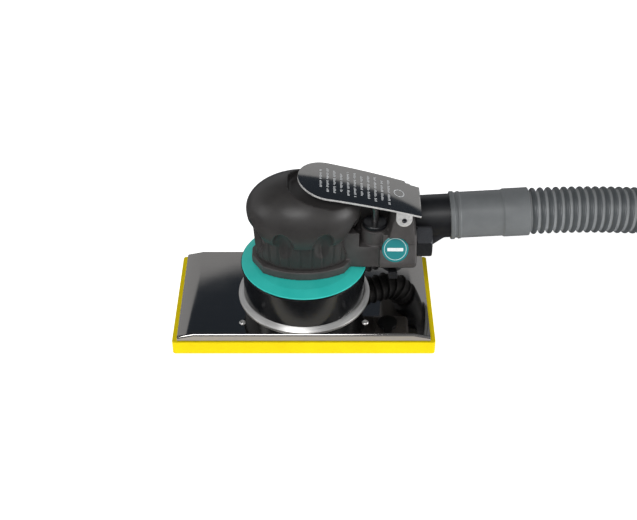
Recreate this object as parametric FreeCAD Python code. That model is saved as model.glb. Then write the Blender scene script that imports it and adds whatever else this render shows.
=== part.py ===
import FreeCAD, Part
import math
import os

# Air-driven palm orbital sander with a rectangular pad and a dust hose.
# Millimetres. Origin: on the sanding face, under the motor axis.
# +X towards the air inlet and the hose, +Y away from the user's palm side, +Z up.

V = FreeCAD.Vector
os.makedirs("parts", exist_ok=True)

# ---------------------------------------------------------------- pad sizes
PAD_LENGTH = 175.0          # foam face, along X
PAD_DEPTH = 93.0            # foam face, along Y
FACING_T = 0.8              # hook facing
FOAM_T = 9.0
PLATE_INSET_X = 3.5         # plate edge behind the foam edge, at the ends
PLATE_INSET_Y = 1.1         # plate edge behind the foam edge, at the sides
PLATE_H = 6.1               # height of the folded steel plate
PLATE_T = 1.5
PLATE_BEND_R = 1.5
END_SLOPE_LEN = 11.0        # sloped margin at each end of the plate
END_SLOPE_DROP = 2.5
COLLAR_H = 3.6
COLLAR_T = 1.4
PAD_SCREW_X = 41.0
PAD_SCREW_Y = 33.2
PAD_SCREW_R = 1.9
PAD_SCREW_HEAD_R = 3.0
PAD_SCREW_HEAD_H = 1.7
DUST_HOLE_R = 2.75
DUST_HOLE_PITCH_R = 34.0
DUST_HOLE_SPREAD = 17.0     # degrees either side of each main direction

# ---------------------------------------------------------------- drive sizes
ECCENTRIC = 1.25            # half of the 2.5 mm orbit
SKIRT_R = 41.2
SKIRT_T = 1.6
SKIRT_H = 24.0
SKIRT_GAP = 0.4             # skirt edge above the collar
COLLAR_TOP_R = SKIRT_R + 0.5          # spun collar around the skirt
COLLAR_FOOT_R = COLLAR_TOP_R + 2.2
RING_R = SKIRT_R + 0.8                # coloured clamp ring
RING_EDGE_H = 0.8
RING_H = 2.1
RING_FLAT_R = SKIRT_R - 7.2
BORE_R = 17.0               # motor bore of the housing
FLANGE_H = 6.0
THROAT_R = BORE_R + 1.0     # opening of ring and skirt for the shaft head
FIT = 0.03                  # running clearance of shafts and pins
SEAT = 0.05                 # clearance of pieces that are only laid in
LOWER_BEARING = (BORE_R - 4.0, 5.0, 8.0)      # outer radius, bore radius, width
LOCK_RING_H = 4.0
LOCK_RING_BORE_R = LOWER_BEARING[0] - 1.5
UPPER_BEARING = (BORE_R - 6.0, 4.0, 7.0)
SPINDLE_BEARING = (11.0, 4.0, 7.0)
END_PLATE_WEB = 2.5
LINER_H = 18.0
LINER_BORE_R = BORE_R - 3.0
LINER_OFFSET = 1.4          # off-centre bore that makes the vane chambers
ROTOR_R = LINER_BORE_R - 1.6
ROTOR_SHAFT_R = 6.0
VANE_COUNT = 5
VANE_T = 1.8
VANE_DEPTH = ROTOR_R - ROTOR_SHAFT_R - 1.4
HEAD_WALL = 3.5             # eccentric head around the spindle bearings
HEAD_DISC_T = 3.5
HEAD_GAP = 3.0              # head disc under the housing
WEIGHT_T = 8.0
POST_R = 3.2
POST_PITCH_R = SKIRT_R - 7.7
WEIGHT_R = POST_PITCH_R - 6.0         # counterweight, inside the posts
SPINDLE_BASE_R = 12.0
SPINDLE_BOLT_R = 3.0
SCREW_R = 2.0               # machine screws of ring and posts
SCREW_X = 24.0              # screws that hold skirt and ring under the housing
SCREW_Y = POST_PITCH_R - 21.5

# ---------------------------------------------------------------- grip sizes
GRIP_X = 37.5               # half length of the palm dome
GRIP_Y = 30.0               # half width of the palm dome
GRIP_UP = 22.0              # dome height above its widest level
GRIP_DOWN = 32.0            # radius of the curve below that level
GRIP_WIDE_H = 36.0          # widest level above the housing flange
GRIP_LIP_H = 19.5           # lip above the housing flange
CORE_X = BORE_R + 12.0      # oval motor core of the housing
CORE_Y = BORE_R + 2.6
NECK_X = CORE_X + 3.0       # rubber neck around the core
NECK_Y = CORE_Y + 2.5
NECK_FLARE = 1.5
CORE_TOP_WALL = 3.0
FLANGE_X = 34.7
FLANGE_Y = 24.8
FLANGE_CORNER = (27.0, 17.0)
FLANGE_SIDE_Y = 4.0
SCALLOP_COUNT = 8
SCALLOP_R = 7.0
SCALLOP_BITE = 1.5
LIP_SHARE = 0.86            # size of the lip against the widest level

# ---------------------------------------------------------------- valve block sizes
VALVE_X = 47.0
VALVE_BOSS_R = 9.2
VALVE_BOSS_H = 27.5         # above the underside of the housing
VALVE_BORE_R = 6.0
VALVE_FLOOR = 3.0
VALVE_CAP_R = 8.2
VALVE_CAP_H = 3.0
VALVE_CAP_THREAD_H = 5.0
STEM_R = 2.15
STEM_DISC_R = 4.5
STEM_DISC_T = 2.0
STEM_GAP = 0.2              # stem under the lever
SEAT_T = 2.5
BLOCK_X = (50.0, 74.5)
BLOCK_DEPTH_DOWN = 2.5      # block below the underside of the housing
LUG_X = (58.0, 71.5)
LUG_Y = 13.6
LUG_TOP_R = 3.5
HINGE_X = 65.0
HINGE_H = 42.0              # above the underside of the housing
PIN_R = 1.6
INLET_H = 14.0              # above the underside of the housing
INLET_FLATS = 19.0
INLET_LENGTH = 10.5
INLET_BORE_R = 5.7
INLET_SHANK_R = 8.0
INLET_SHANK_L = 14.0
PASSAGE_R = 4.5             # air passage from the inlet to the valve
PORT_R = 2.5                # air port from the valve to the motor
BADGE_R = 8.75
BADGE_T = 0.8
BADGE_X = 60.2
BADGE_TILT = 25.0
REG_X = 59.3
REG_Y = -2.0
REG_R = 7.0
REG_T = 2.4
REG_SHAFT_R = 3.0
REG_TAB_W = 5.7
REG_TAB_REACH = 14.6

# ---------------------------------------------------------------- lever sizes
LEVER_TIP_X = -3.5
LEVER_MID_X = 35.0
LEVER_END_X = 76.0
LEVER_TIP_H = 66.2          # heights above the underside of the housing
LEVER_MID_H = 58.0
LEVER_END_H = 46.4
LEVER_T = 1.5
LEVER_HALF_W = 18.5
LEVER_END_HALF_W = 15.0
LEVER_PRESS = 6.0           # degrees of travel
EAR_T = 1.5
EAR_GAP = 0.4
EAR_R = 5.0
POCKET_GAP = 2.2            # pocket around the lever outline
POCKET_FLOOR_GAP = 0.9

# ---------------------------------------------------------------- exhaust sizes
DUCT_Y = 28.0
DUCT_H = 14.6               # above the underside of the housing, at the bend
DUCT_BEND_X = 93.0
DUCT_START_X = 74.8
DUCT_END_X = 99.3
DUCT_TILT = 3.7             # degrees, rising towards the hose
DUCT_R = 15.0
DUCT_WALL = 1.8
DUCT_FOOT_X = 74.0
DUCT_FOOT_DROP = 4.0        # below the underside of the housing
DUCT_FOOT_R = 12.0
DUCT_BRANCH_X = 92.0        # where the inclined branch meets the level pipe
BELLOWS_R = 8.6
BELLOWS_WALL = 1.6
BELLOWS_RIB = 1.3
BELLOWS_RIB_T = 1.2
BELLOWS_PITCH = 4.4
PORT_H = 11.1               # exhaust port above the skirt edge
NOZZLE_R = 5.0
NOZZLE_BORE_R = 3.0
CUFF_R = DUCT_R + 0.8
CUFF_BEAD_R = DUCT_R + 1.3
CUFF_LENGTH = 53.4
CUFF_OVERLAP = 20.0
CUFF_RING_L = 17.0
HOSE_R = DUCT_R + 0.5
HOSE_BORE_R = HOSE_R - 1.6
BEND_SHARE = 0.45           # part of the shorter run that a bend takes up
CONNECTOR_R = CUFF_BEAD_R
CONNECTOR_BORE_R = HOSE_BORE_R + 0.6
CONNECTOR_L = 45.0

# ---------------------------------------------------------------- levels, from the floor up
foam_z = FACING_T
plate_z = foam_z + FOAM_T
plate_top = plate_z + PLATE_H
plate_under = plate_top - PLATE_T
collar_top = plate_top + COLLAR_H
skirt_z = collar_top + SKIRT_GAP
skirt_top = skirt_z + SKIRT_H
ring_top = skirt_top + RING_H
base = ring_top                      # underside of the motor housing
flange_top = base + FLANGE_H
head_top = base - HEAD_GAP             # top of the eccentric head
pad_centre = V(0, ECCENTRIC, 0)
duct_z = base + DUCT_H
duct_foot = V(DUCT_FOOT_X, DUCT_Y, base - DUCT_FOOT_DROP)
port_z = skirt_z + PORT_H


# ---------------------------------------------------------------- shape helpers
def cyl(radius, height, at, direction=V(0, 0, 1)):
    return Part.makeCylinder(radius, height, at, direction)


def tube(outer, inner, height, at, direction=V(0, 0, 1)):
    return cyl(outer, height, at, direction).cut(cyl(inner, height, at, direction))


def block(x0, x1, y0, y1, z0, z1):
    return Part.makeBox(x1 - x0, y1 - y0, z1 - z0, V(x0, y0, z0))


def prism(points, push):
    wire = Part.makePolygon([V(*p) for p in points] + [V(*points[0])])
    return Part.Face(wire).extrude(V(*push))


def scaled(shape, sx, sy, sz):
    matrix = FreeCAD.Matrix()
    matrix.scale(V(sx, sy, sz))
    return shape.transformGeometry(matrix)


def moved(shape, offset):
    copy = shape.copy()
    copy.translate(offset)
    return copy


def join(shapes):
    whole = shapes[0].fuse(shapes[1:]) if len(shapes) > 1 else shapes[0]
    return whole.removeSplitter()


def ring_points(count, radius, first=0.0):
    for i in range(count):
        a = math.radians(first + 360.0 * i / count)
        yield V(radius * math.cos(a), radius * math.sin(a), 0)


def corners(x, y):
    for sx in (-1, 1):
        for sy in (-1, 1):
            yield V(sx * x, sy * y, 0)


def save(name, shape):
    if not shape.isValid():
        print("INVALID", name)
    shape.exportStep("parts/%s.step" % name)
    print("%-22s solids %d  volume %.1f" % (name, len(shape.Solids), shape.Volume))


# ---------------------------------------------------------------- sanding pad
def dust_holes(z0, z1):
    for k in range(4):
        for side in (-1, 1):
            a = math.radians(90.0 * k + side * DUST_HOLE_SPREAD)
            at = V(DUST_HOLE_PITCH_R * math.cos(a), DUST_HOLE_PITCH_R * math.sin(a), z0)
            yield cyl(DUST_HOLE_R, z1 - z0, at + pad_centre)


def slab(length, depth, z0, z1, corner_r):
    shape = block(-length / 2, length / 2, -depth / 2, depth / 2, z0, z1)
    upright = [e for e in shape.Edges if abs(e.tangentAt(e.FirstParameter).z) > 0.9]
    return moved(shape.makeFillet(corner_r, upright), pad_centre)


def hook_facing():
    shape = slab(PAD_LENGTH, PAD_DEPTH, 0, FACING_T, 2.0)
    return shape.cut(list(dust_holes(0, FACING_T)))


def foam_pad():
    shape = slab(PAD_LENGTH, PAD_DEPTH, foam_z, plate_z, 2.0)
    return shape.cut(list(dust_holes(foam_z, plate_z)))


plate_x = PAD_LENGTH / 2 - PLATE_INSET_X
plate_y = PAD_DEPTH / 2 - PLATE_INSET_Y
flat_x = plate_x - END_SLOPE_LEN


def plate_form(inset, foot):
    """Folded pan: flat top, sloped end margins, upright sides."""
    x = plate_x - inset
    y = plate_y - inset
    top = plate_top - inset
    low = top - END_SLOPE_DROP
    half = [(flat_x, -y, top), (x, -y, low), (x, -y, foot)]
    outline = [(-px, py, pz) for px, py, pz in reversed(half)] + half
    return prism(outline, (0, 2 * y, 0))


def post_points():
    return list(ring_points(4, POST_PITCH_R, 45.0))


def backing_plate():
    outer = plate_form(0.0, plate_z)
    long_edges = [e for e in outer.Edges
                  if abs(e.tangentAt(e.FirstParameter).x) > 0.9
                  and e.BoundBox.ZMin > plate_top - END_SLOPE_DROP - 0.1]
    outer = outer.makeFillet(PLATE_BEND_R, long_edges)
    shape = moved(outer.cut(plate_form(PLATE_T, plate_z - 1.0)), pad_centre)
    holes = list(dust_holes(plate_under, plate_top))
    holes += [cyl(PAD_SCREW_R + SEAT, PLATE_T, p + pad_centre + V(0, 0, plate_under))
              for p in corners(PAD_SCREW_X, PAD_SCREW_Y)]
    holes += [cyl(SCREW_R + SEAT, PLATE_T, p + pad_centre + V(0, 0, plate_under)) for p in post_points()]
    holes.append(cyl(SPINDLE_BOLT_R + SEAT, PLATE_T, pad_centre + V(0, 0, plate_under)))
    return shape.cut(holes)


core_y = plate_y - PLATE_T - SEAT


def pad_core():
    """Stiff core moulded on the foam; it fills the pan and takes the pad screws."""
    half = flat_x - 1.0
    shape = moved(block(-half, half, -core_y, core_y, plate_z, plate_under), pad_centre)
    depth = plate_under - plate_z
    holes = list(dust_holes(plate_z, plate_under))
    low = pad_centre + V(0, 0, plate_z)
    holes += [cyl(PAD_SCREW_R, depth, p + low) for p in corners(PAD_SCREW_X, PAD_SCREW_Y)]
    holes += [cyl(4.2, depth, p + low) for p in post_points()]
    holes.append(cyl(9.0, depth, pad_centre + V(0, 0, plate_z)))
    return shape.cut(holes)


def collar():
    foot = Part.makeCone(COLLAR_FOOT_R, COLLAR_TOP_R, COLLAR_H, V(0, 0, plate_top))
    inside = Part.makeCone(COLLAR_FOOT_R - COLLAR_T, COLLAR_TOP_R - COLLAR_T, COLLAR_H, V(0, 0, plate_top))
    return moved(foot.cut(inside), pad_centre)


def pan_screw(radius, head_r, head_h, length, at, down=True):
    """Screw with its head seat at the given point."""
    sign = -1 if down else 1
    head = cyl(head_r, head_h, at, V(0, 0, -sign))
    edge = [e for e in head.Edges if abs(e.BoundBox.ZMin - (at.z - sign * head_h)) < 0.01
            and abs(e.BoundBox.ZMax - (at.z - sign * head_h)) < 0.01]
    head = head.makeFillet(head_h * 0.45, edge)
    floor = at - V(0, 0, sign * head_h * 0.45)
    socket = prism([p + floor for p in ring_points(6, head_r * 0.5)], (0, 0, -sign * head_h))
    return join([head.cut(socket), cyl(radius, length, at, V(0, 0, sign))])


def pad_screws():
    depth = plate_top - plate_z - 0.6
    seat = pad_centre + V(0, 0, plate_top)
    return Part.makeCompound([pan_screw(PAD_SCREW_R, PAD_SCREW_HEAD_R, PAD_SCREW_HEAD_H, depth, p + seat)
                              for p in corners(PAD_SCREW_X, PAD_SCREW_Y)])


def post_screws():
    seat = pad_centre + V(0, 0, plate_under)
    return Part.makeCompound([pan_screw(SCREW_R, 3.8, 3.0, 8.0, p + seat, down=False)
                              for p in post_points()])


spindle_bearing_z = head_top - HEAD_DISC_T - 2 * SPINDLE_BEARING[2] - 0.2


def spindle():
    top = spindle_bearing_z + 2 * SPINDLE_BEARING[2] - 0.3
    at = pad_centre + V(0, 0, plate_top)
    foot = cyl(SPINDLE_BASE_R, 5.5, at)
    shoulder = cyl(5.2, spindle_bearing_z - plate_top - SEAT, at)
    shaft = cyl(SPINDLE_BEARING[1] - FIT, top - plate_top, at)
    return join([foot, shoulder, shaft]).cut(cyl(SPINDLE_BOLT_R, 18.0, at))


def spindle_washer():
    return tube(7.0, SPINDLE_BOLT_R + SEAT, 1.0, pad_centre + V(0, 0, plate_under - 1.0))


def spindle_bolt():
    seat = pad_centre + V(0, 0, plate_under - 1.0)
    return pan_screw(SPINDLE_BOLT_R, 5.5, 3.3, 18.0, seat, down=False)


# ---------------------------------------------------------------- rotor, eccentric and bearings
lower_bearing_z = base + 0.5 + LOCK_RING_H
lower_plate_top = lower_bearing_z + LOWER_BEARING[2] + END_PLATE_WEB
liner_top = lower_plate_top + LINER_H
upper_bearing_z = liner_top + END_PLATE_WEB
motor_top = upper_bearing_z + UPPER_BEARING[2]
head_z = spindle_bearing_z - 1.0
head_r = SPINDLE_BEARING[0] + HEAD_WALL
core_top = motor_top + CORE_TOP_WALL
rotor_z = lower_plate_top + 0.1
rotor_top = liner_top - 0.1


def bearing(sizes, at):
    """Shielded ball bearing: two races and a recessed shield between them."""
    outer, bore, width = sizes
    race = (outer - bore) * 0.22
    shape = tube(outer, bore, width, at)
    groove = tube(outer - race, bore + race, 0.4, at)
    return shape.cut([groove, moved(groove, V(0, 0, width - 0.4))])


def eccentric_shaft():
    parts = [
        cyl(LOWER_BEARING[1] - FIT, rotor_z - head_top, V(0, 0, head_top)),
        cyl(ROTOR_SHAFT_R, rotor_top - rotor_z, V(0, 0, rotor_z)),
        cyl(UPPER_BEARING[1] - FIT, motor_top - rotor_top - 0.2, V(0, 0, rotor_top)),
        cyl(head_r, HEAD_DISC_T, V(0, 0, head_top - HEAD_DISC_T)),
        cyl(head_r, head_top - head_z - 1.0, pad_centre + V(0, 0, head_z)),
    ]
    pocket = cyl(SPINDLE_BEARING[0], head_top - HEAD_DISC_T - head_z, pad_centre + V(0, 0, head_z))
    return join(parts).cut(pocket)


def counterweight():
    """Half ring on the side of the head away from the spindle."""
    z0 = head_z + 4.0
    ring = tube(WEIGHT_R, head_r + SEAT, WEIGHT_T, V(0, 0, z0))
    ring = ring.cut(cyl(head_r + SEAT, WEIGHT_T, pad_centre + V(0, 0, z0)))
    return ring.common(block(-WEIGHT_R, WEIGHT_R, -WEIGHT_R, -3.0, z0, z0 + WEIGHT_T))


def vane_slot(angle, r0, r1, z0, z1, width):
    shape = block(r0, r1, -width / 2, width / 2, z0, z1)
    shape.rotate(V(0, 0, 0), V(0, 0, 1), angle)
    return shape


def rotor():
    shape = tube(ROTOR_R, ROTOR_SHAFT_R + SEAT, rotor_top - rotor_z, V(0, 0, rotor_z))
    slots = [vane_slot(360.0 * i / VANE_COUNT, ROTOR_R - VANE_DEPTH - 0.2, ROTOR_R + 1, rotor_z, rotor_top,
                       VANE_T + 2 * SEAT) for i in range(VANE_COUNT)]
    return shape.cut(slots)


def rotor_vanes():
    z0 = rotor_z + 0.1
    z1 = rotor_top - 0.1
    return Part.makeCompound([vane_slot(360.0 * i / VANE_COUNT, ROTOR_R - VANE_DEPTH, ROTOR_R - 0.1,
                                        z0, z1, VANE_T) for i in range(VANE_COUNT)])


def snap_ring():
    shape = tube(SPINDLE_BEARING[0] - 0.02, 9.3, 0.8, pad_centre + V(0, 0, head_z + 0.1))
    return shape.cut(block(-1.5, 1.5, 5, 15, head_z, head_z + 1.2))


def lower_end_plate():
    shape = cyl(BORE_R - SEAT, lower_plate_top - lower_bearing_z, V(0, 0, lower_bearing_z))
    pocket = cyl(LOWER_BEARING[0], LOWER_BEARING[2], V(0, 0, lower_bearing_z))
    return shape.cut([pocket, cyl(LOWER_BEARING[1] + 0.6, 30, V(0, 0, lower_bearing_z))])


def upper_end_plate():
    shape = cyl(BORE_R - SEAT, motor_top - liner_top, V(0, 0, liner_top))
    pocket = cyl(UPPER_BEARING[0], UPPER_BEARING[2], V(0, 0, upper_bearing_z))
    return shape.cut([pocket, cyl(UPPER_BEARING[1] + 0.6, 30, V(0, 0, liner_top))])


def cylinder_liner():
    shape = cyl(BORE_R - SEAT, LINER_H, V(0, 0, lower_plate_top))
    return shape.cut(cyl(LINER_BORE_R, LINER_H, V(0, LINER_OFFSET, lower_plate_top)))


def motor_lock_ring():
    shape = tube(BORE_R - SEAT, LOCK_RING_BORE_R, LOCK_RING_H, V(0, 0, base + 0.5))
    notches = [cyl(1.5, 2.0, p + V(0, 0, base + 0.5)) for p in ring_points(4, BORE_R - 2.7)]
    return shape.cut(notches)


# ---------------------------------------------------------------- exhaust axes
out_dir = V(math.cos(math.radians(DUCT_TILT)), 0, math.sin(math.radians(DUCT_TILT)))
duct_mid = V(DUCT_BEND_X, DUCT_Y, duct_z)


def on_duct(x):
    """Point of the outlet axis at a distance along X."""
    return duct_mid + out_dir * ((x - DUCT_BEND_X) / out_dir.x)


branch_dir = on_duct(DUCT_BRANCH_X) - duct_foot
branch_len = branch_dir.Length
branch_dir.normalize()


# ---------------------------------------------------------------- skirt, ring and posts
bellows_corner = duct_foot - branch_dir * ((duct_foot.z - port_z) / branch_dir.z)
port_dir = V(bellows_corner.x, bellows_corner.y, 0)
port_dir.normalize()
port_wall = SKIRT_R - SKIRT_T
port_start = port_dir * port_wall + V(0, 0, port_z)


def skirt():
    wall = tube(SKIRT_R, SKIRT_R - SKIRT_T, SKIRT_H, V(0, 0, skirt_z))
    lid = tube(SKIRT_R, THROAT_R, SKIRT_T, V(0, 0, skirt_top - SKIRT_T))
    spigot = cyl(BELLOWS_R - BELLOWS_WALL - SEAT, 8.0, port_start, port_dir)
    port = cyl(BELLOWS_R - BELLOWS_WALL - 1.5, 14.0, port_start - port_dir * 3, port_dir)
    shape = join([wall, lid, spigot]).cut(port)
    lid_z = V(0, 0, skirt_top - SKIRT_T)
    return shape.cut([cyl(SCREW_R + 0.1, SKIRT_T, p + lid_z) for p in screw_points()])


def screw_points():
    return list(corners(SCREW_X, SCREW_Y))


def clamp_ring():
    edge = cyl(RING_R, RING_EDGE_H, V(0, 0, skirt_top))
    slope = Part.makeCone(RING_R, RING_FLAT_R, RING_H - RING_EDGE_H, V(0, 0, skirt_top + RING_EDGE_H))
    holes = [cyl(SCREW_R + 0.1, RING_H, p + V(0, 0, skirt_top)) for p in screw_points()]
    return join([edge, slope]).cut(holes + [cyl(THROAT_R, RING_H, V(0, 0, skirt_top))])


def flange_screws():
    seat = V(0, 0, skirt_top - SKIRT_T)
    return Part.makeCompound([pan_screw(SCREW_R, 3.6, 2.6, 6.0, p + seat, down=False)
                              for p in screw_points()])


def support_posts():
    length = skirt_top - SKIRT_T - plate_top
    posts = []
    for p in post_points():
        at = p + pad_centre + V(0, 0, plate_top)
        ends = [cyl(POST_R + 1.2, 3.0, at), cyl(POST_R + 1.2, 3.0, at + V(0, 0, length - 3))]
        post = join([cyl(POST_R, length, at)] + ends)
        posts.append(post.cut(cyl(SCREW_R + SEAT, 7.0, at)))
    return Part.makeCompound(posts)


# ---------------------------------------------------------------- lever
hinge = V(HINGE_X, 0, base + HINGE_H)


def lever_outline(gap, half_end):
    """Plan outline: round tip, sides that close towards the hinge."""
    r = LEVER_HALF_W + gap
    x0 = LEVER_TIP_X - gap + r
    x1 = LEVER_END_X + gap
    edges = [
        Part.Arc(V(x0, r, 0), V(x0 - r, 0, 0), V(x0, -r, 0)).toShape(),
        Part.LineSegment(V(x0, -r, 0), V(x1, -half_end, 0)).toShape(),
        Part.LineSegment(V(x1, -half_end, 0), V(x1, half_end, 0)).toShape(),
        Part.LineSegment(V(x1, half_end, 0), V(x0, r, 0)).toShape(),
    ]
    return Part.Face(Part.Wire(edges))


def lever_sheet(top_shift, thickness):
    """Gently arched sheet, wider than the lever, in the lever's rest place."""
    z = base + top_shift
    a = V(LEVER_TIP_X - 1, -40, z + LEVER_TIP_H + 0.2)
    b = V(LEVER_MID_X, -40, z + LEVER_MID_H)
    c = V(LEVER_END_X + 1, -40, z + LEVER_END_H - 0.3)
    d = V(0, 0, -thickness)
    edges = [
        Part.Arc(a, b, c).toShape(),
        Part.LineSegment(c, c + d).toShape(),
        Part.Arc(c + d, b + d, a + d).toShape(),
        Part.LineSegment(a + d, a).toShape(),
    ]
    return Part.Face(Part.Wire(edges)).extrude(V(0, 80, 0))


def throttle_lever():
    plan = lever_outline(0.0, LEVER_END_HALF_W).extrude(V(0, 0, 200))
    shape = lever_sheet(0.0, LEVER_T).common(plan)
    ears = []
    for side in (-1, 1):
        y0 = side * (LUG_Y + EAR_GAP) if side > 0 else -(LUG_Y + EAR_GAP + EAR_T)
        tab = cyl(EAR_R, EAR_T, V(hinge.x, y0, hinge.z), V(0, 1, 0))
        web = block(hinge.x - EAR_R, hinge.x + EAR_R, y0, y0 + EAR_T, hinge.z, base + LEVER_TIP_H)
        ears.append(join([tab, web.cut(lever_sheet(60.0 - LEVER_T / 2, 60.0))]))
    shape = join([shape] + ears)
    return shape.cut(cyl(PIN_R + FIT, 60, V(hinge.x, -30, hinge.z), V(0, 1, 0)))


def lever_pocket():
    """Room in the grip for the pressed lever."""
    plan = lever_outline(POCKET_GAP, LEVER_HALF_W + POCKET_GAP).extrude(V(0, 0, 200))
    room = lever_sheet(40.0, 40.0 + LEVER_T + POCKET_FLOOR_GAP).common(plan)
    widened = join([room, moved(room, V(-3.0, 0, 0))])
    widened.rotate(hinge, V(0, -1, 0), LEVER_PRESS)
    return widened


def lever_pin():
    reach = LUG_Y + EAR_GAP + EAR_T + 0.6
    return cyl(PIN_R, 2 * reach, V(hinge.x, -reach, hinge.z), V(0, 1, 0))


# ---------------------------------------------------------------- grip and housing
def ellipsoid_half(up):
    sphere = Part.makeSphere(GRIP_X)
    side = GRIP_X + 1
    keep = block(-side, side, -side, side, 0, side) if up else block(-side, side, -side, side, -side, 0)
    height = GRIP_UP if up else GRIP_DOWN
    half = scaled(sphere.common(keep), 1.0, GRIP_Y / GRIP_X, height / GRIP_X)
    return moved(half, V(0, 0, flange_top + GRIP_WIDE_H))


def ellipse_cylinder(x, y, z0, z1, x_top=None):
    r1 = x
    r2 = x if x_top is None else x_top
    body = Part.makeCone(r1, r2, z1 - z0) if r1 != r2 else Part.makeCylinder(r1, z1 - z0)
    return moved(scaled(body, 1.0, y / x, 1.0), V(0, 0, z0))


def grip_cover():
    lip = flange_top + GRIP_LIP_H
    dome = ellipsoid_half(True).fuse(ellipsoid_half(False))
    dome = dome.cut(block(-60, 60, -60, 60, 0, lip))
    neck = ellipse_cylinder(NECK_X, NECK_Y, flange_top, lip + 2.0, NECK_X + NECK_FLARE)
    shape = dome.fuse(neck)
    cuts = [ellipse_cylinder(CORE_X, CORE_Y, flange_top - 1, core_top), lever_pocket()]
    for p in ring_points(SCALLOP_COUNT, 1.0, 22.5):
        out = SCALLOP_R - SCALLOP_BITE
        at = V(p.x * (GRIP_X * LIP_SHARE + out), p.y * (GRIP_Y * LIP_SHARE + out), lip - 1)
        cuts.append(cyl(SCALLOP_R, 9.0, at))
    cuts.append(cyl(VALVE_BOSS_R + 0.3, 80, V(VALVE_X, 0, flange_top)))
    cuts.append(block(CORE_X - 6.0, 60, -10.3, 10.3, flange_top - 1, base + VALVE_BOSS_H + 0.3))
    return shape.cut(cuts)


def flange_solid():
    cx, cy = FLANGE_CORNER
    z = base
    side = [V(cx, -cy, z), V(FLANGE_X, -FLANGE_SIDE_Y, z), V(FLANGE_X, FLANGE_SIDE_Y, z), V(cx, cy, z)]
    other = [V(-p.x, -p.y, z) for p in side]
    edges = [Part.Arc(other[3], V(0, -FLANGE_Y, z), side[0]).toShape()]
    edges += [Part.LineSegment(side[i], side[i + 1]).toShape() for i in range(3)]
    edges.append(Part.Arc(side[3], V(0, FLANGE_Y, z), other[0]).toShape())
    edges += [Part.LineSegment(other[i], other[i + 1]).toShape() for i in range(3)]
    return Part.Face(Part.Wire(edges)).extrude(V(0, 0, FLANGE_H))


block_low = base - BLOCK_DEPTH_DOWN
boss_top = base + VALVE_BOSS_H
stem_seat_z = base + 14.0
badge_normal = V(0, -math.cos(math.radians(BADGE_TILT)), math.sin(math.radians(BADGE_TILT)))
badge_face = V(BADGE_X, -13.1, base + 17.1)


def block_solid():
    """Valve block: tilted front face for the badge, rounded belly, flat back."""
    along = V(0, badge_normal.z, -badge_normal.y)
    high = badge_face + along * 9.5
    low = badge_face - along * 10.0
    profile = [
        (high.y, high.z), (low.y, low.z), (low.y + 1.5, low.z - 4.0), (-9.5, block_low + 1.2),
        (-5.0, block_low), (6.0, block_low), (10.5, block_low + 3.0), (12.5, block_low + 8.0),
        (12.5, high.z - 3.0), (9.0, high.z),
    ]
    x0, x1 = BLOCK_X
    shape = prism([(x0, y, z) for y, z in profile], (x1 - x0, 0, 0))
    outer = [e for e in shape.Edges if e.BoundBox.XMin > x1 - 0.01]
    return shape.makeFillet(2.0, outer)


def lug_solid():
    x0, x1 = LUG_X
    z0 = boss_top - 6.0
    top = hinge.z + LUG_TOP_R
    outline = [(x0 - 3.0, z0), (x1 + 1.5, z0), (x1, hinge.z - 4),
               (hinge.x + 3.0, top), (hinge.x - 3.5, top), (x0, hinge.z - 4)]
    return prism([(x, -LUG_Y, z) for x, z in outline], (0, 2 * LUG_Y, 0))


nozzle_z = duct_z - (DUCT_BEND_X - DUCT_START_X) * math.tan(math.radians(DUCT_TILT))


def motor_housing():
    core = ellipse_cylinder(CORE_X - SEAT, CORE_Y - SEAT, base, core_top - SEAT)
    boss = cyl(VALVE_BOSS_R, VALVE_BOSS_H, V(VALVE_X, 0, base))
    bridge = block(CORE_X - 5.0, BLOCK_X[0] + 1, -10, 10, base, boss_top)
    manifold = block(BLOCK_X[0] + 6, DUCT_START_X, 11.5, DUCT_Y + 9.0, nozzle_z - 7.0, nozzle_z + 9.0)
    manifold = manifold.makeFillet(2.5, [e for e in manifold.Edges if e.BoundBox.XMax < DUCT_START_X - 0.1])
    shape = join([flange_solid(), core, boss, bridge, block_solid(), lug_solid(), manifold])
    cuts = [
        cyl(BORE_R, motor_top - base, V(0, 0, base)),
        cyl(VALVE_BORE_R, boss_top - base - VALVE_FLOOR, V(VALVE_X, 0, base + VALVE_FLOOR)),
        cyl(INLET_SHANK_R, INLET_SHANK_L, V(BLOCK_X[1] - INLET_SHANK_L, 0, base + INLET_H), V(1, 0, 0)),
        cyl(PASSAGE_R, BLOCK_X[1] - VALVE_X, V(VALVE_X, 0, base + INLET_H), V(1, 0, 0)),
        cyl(PORT_R, VALVE_X, V(0, 0, base + 9.0), V(1, 0, 0)),
        cyl(PIN_R, 60, V(hinge.x, -30, hinge.z), V(0, 1, 0)),
        cyl(REG_SHAFT_R + FIT, 9.0, V(REG_X, REG_Y, block_low)),
        cyl(BADGE_R + SEAT, 5.0, badge_face - badge_normal * BADGE_T, badge_normal),
        cyl(NOZZLE_R, 12.0, V(DUCT_START_X - 10.0, DUCT_Y, nozzle_z), V(1, 0, 0)),
        duct_form(-0.15, DUCT_START_X + 1.2, DUCT_END_X)[1],
    ]
    cuts += [cyl(SCREW_R, 5.0, p + V(0, 0, base)) for p in screw_points()]
    return shape.cut(cuts)


def badge():
    return cyl(BADGE_R, BADGE_T, badge_face - badge_normal * BADGE_T, badge_normal)


# ---------------------------------------------------------------- valve, inlet and regulator
def lever_under(x):
    """Height of the lever's underside at a distance along X, on the three-point arc."""
    probe = cyl(0.05, 200, V(x, 0, 0)).common(lever_sheet(0.0, LEVER_T))
    return probe.BoundBox.ZMin


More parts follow.
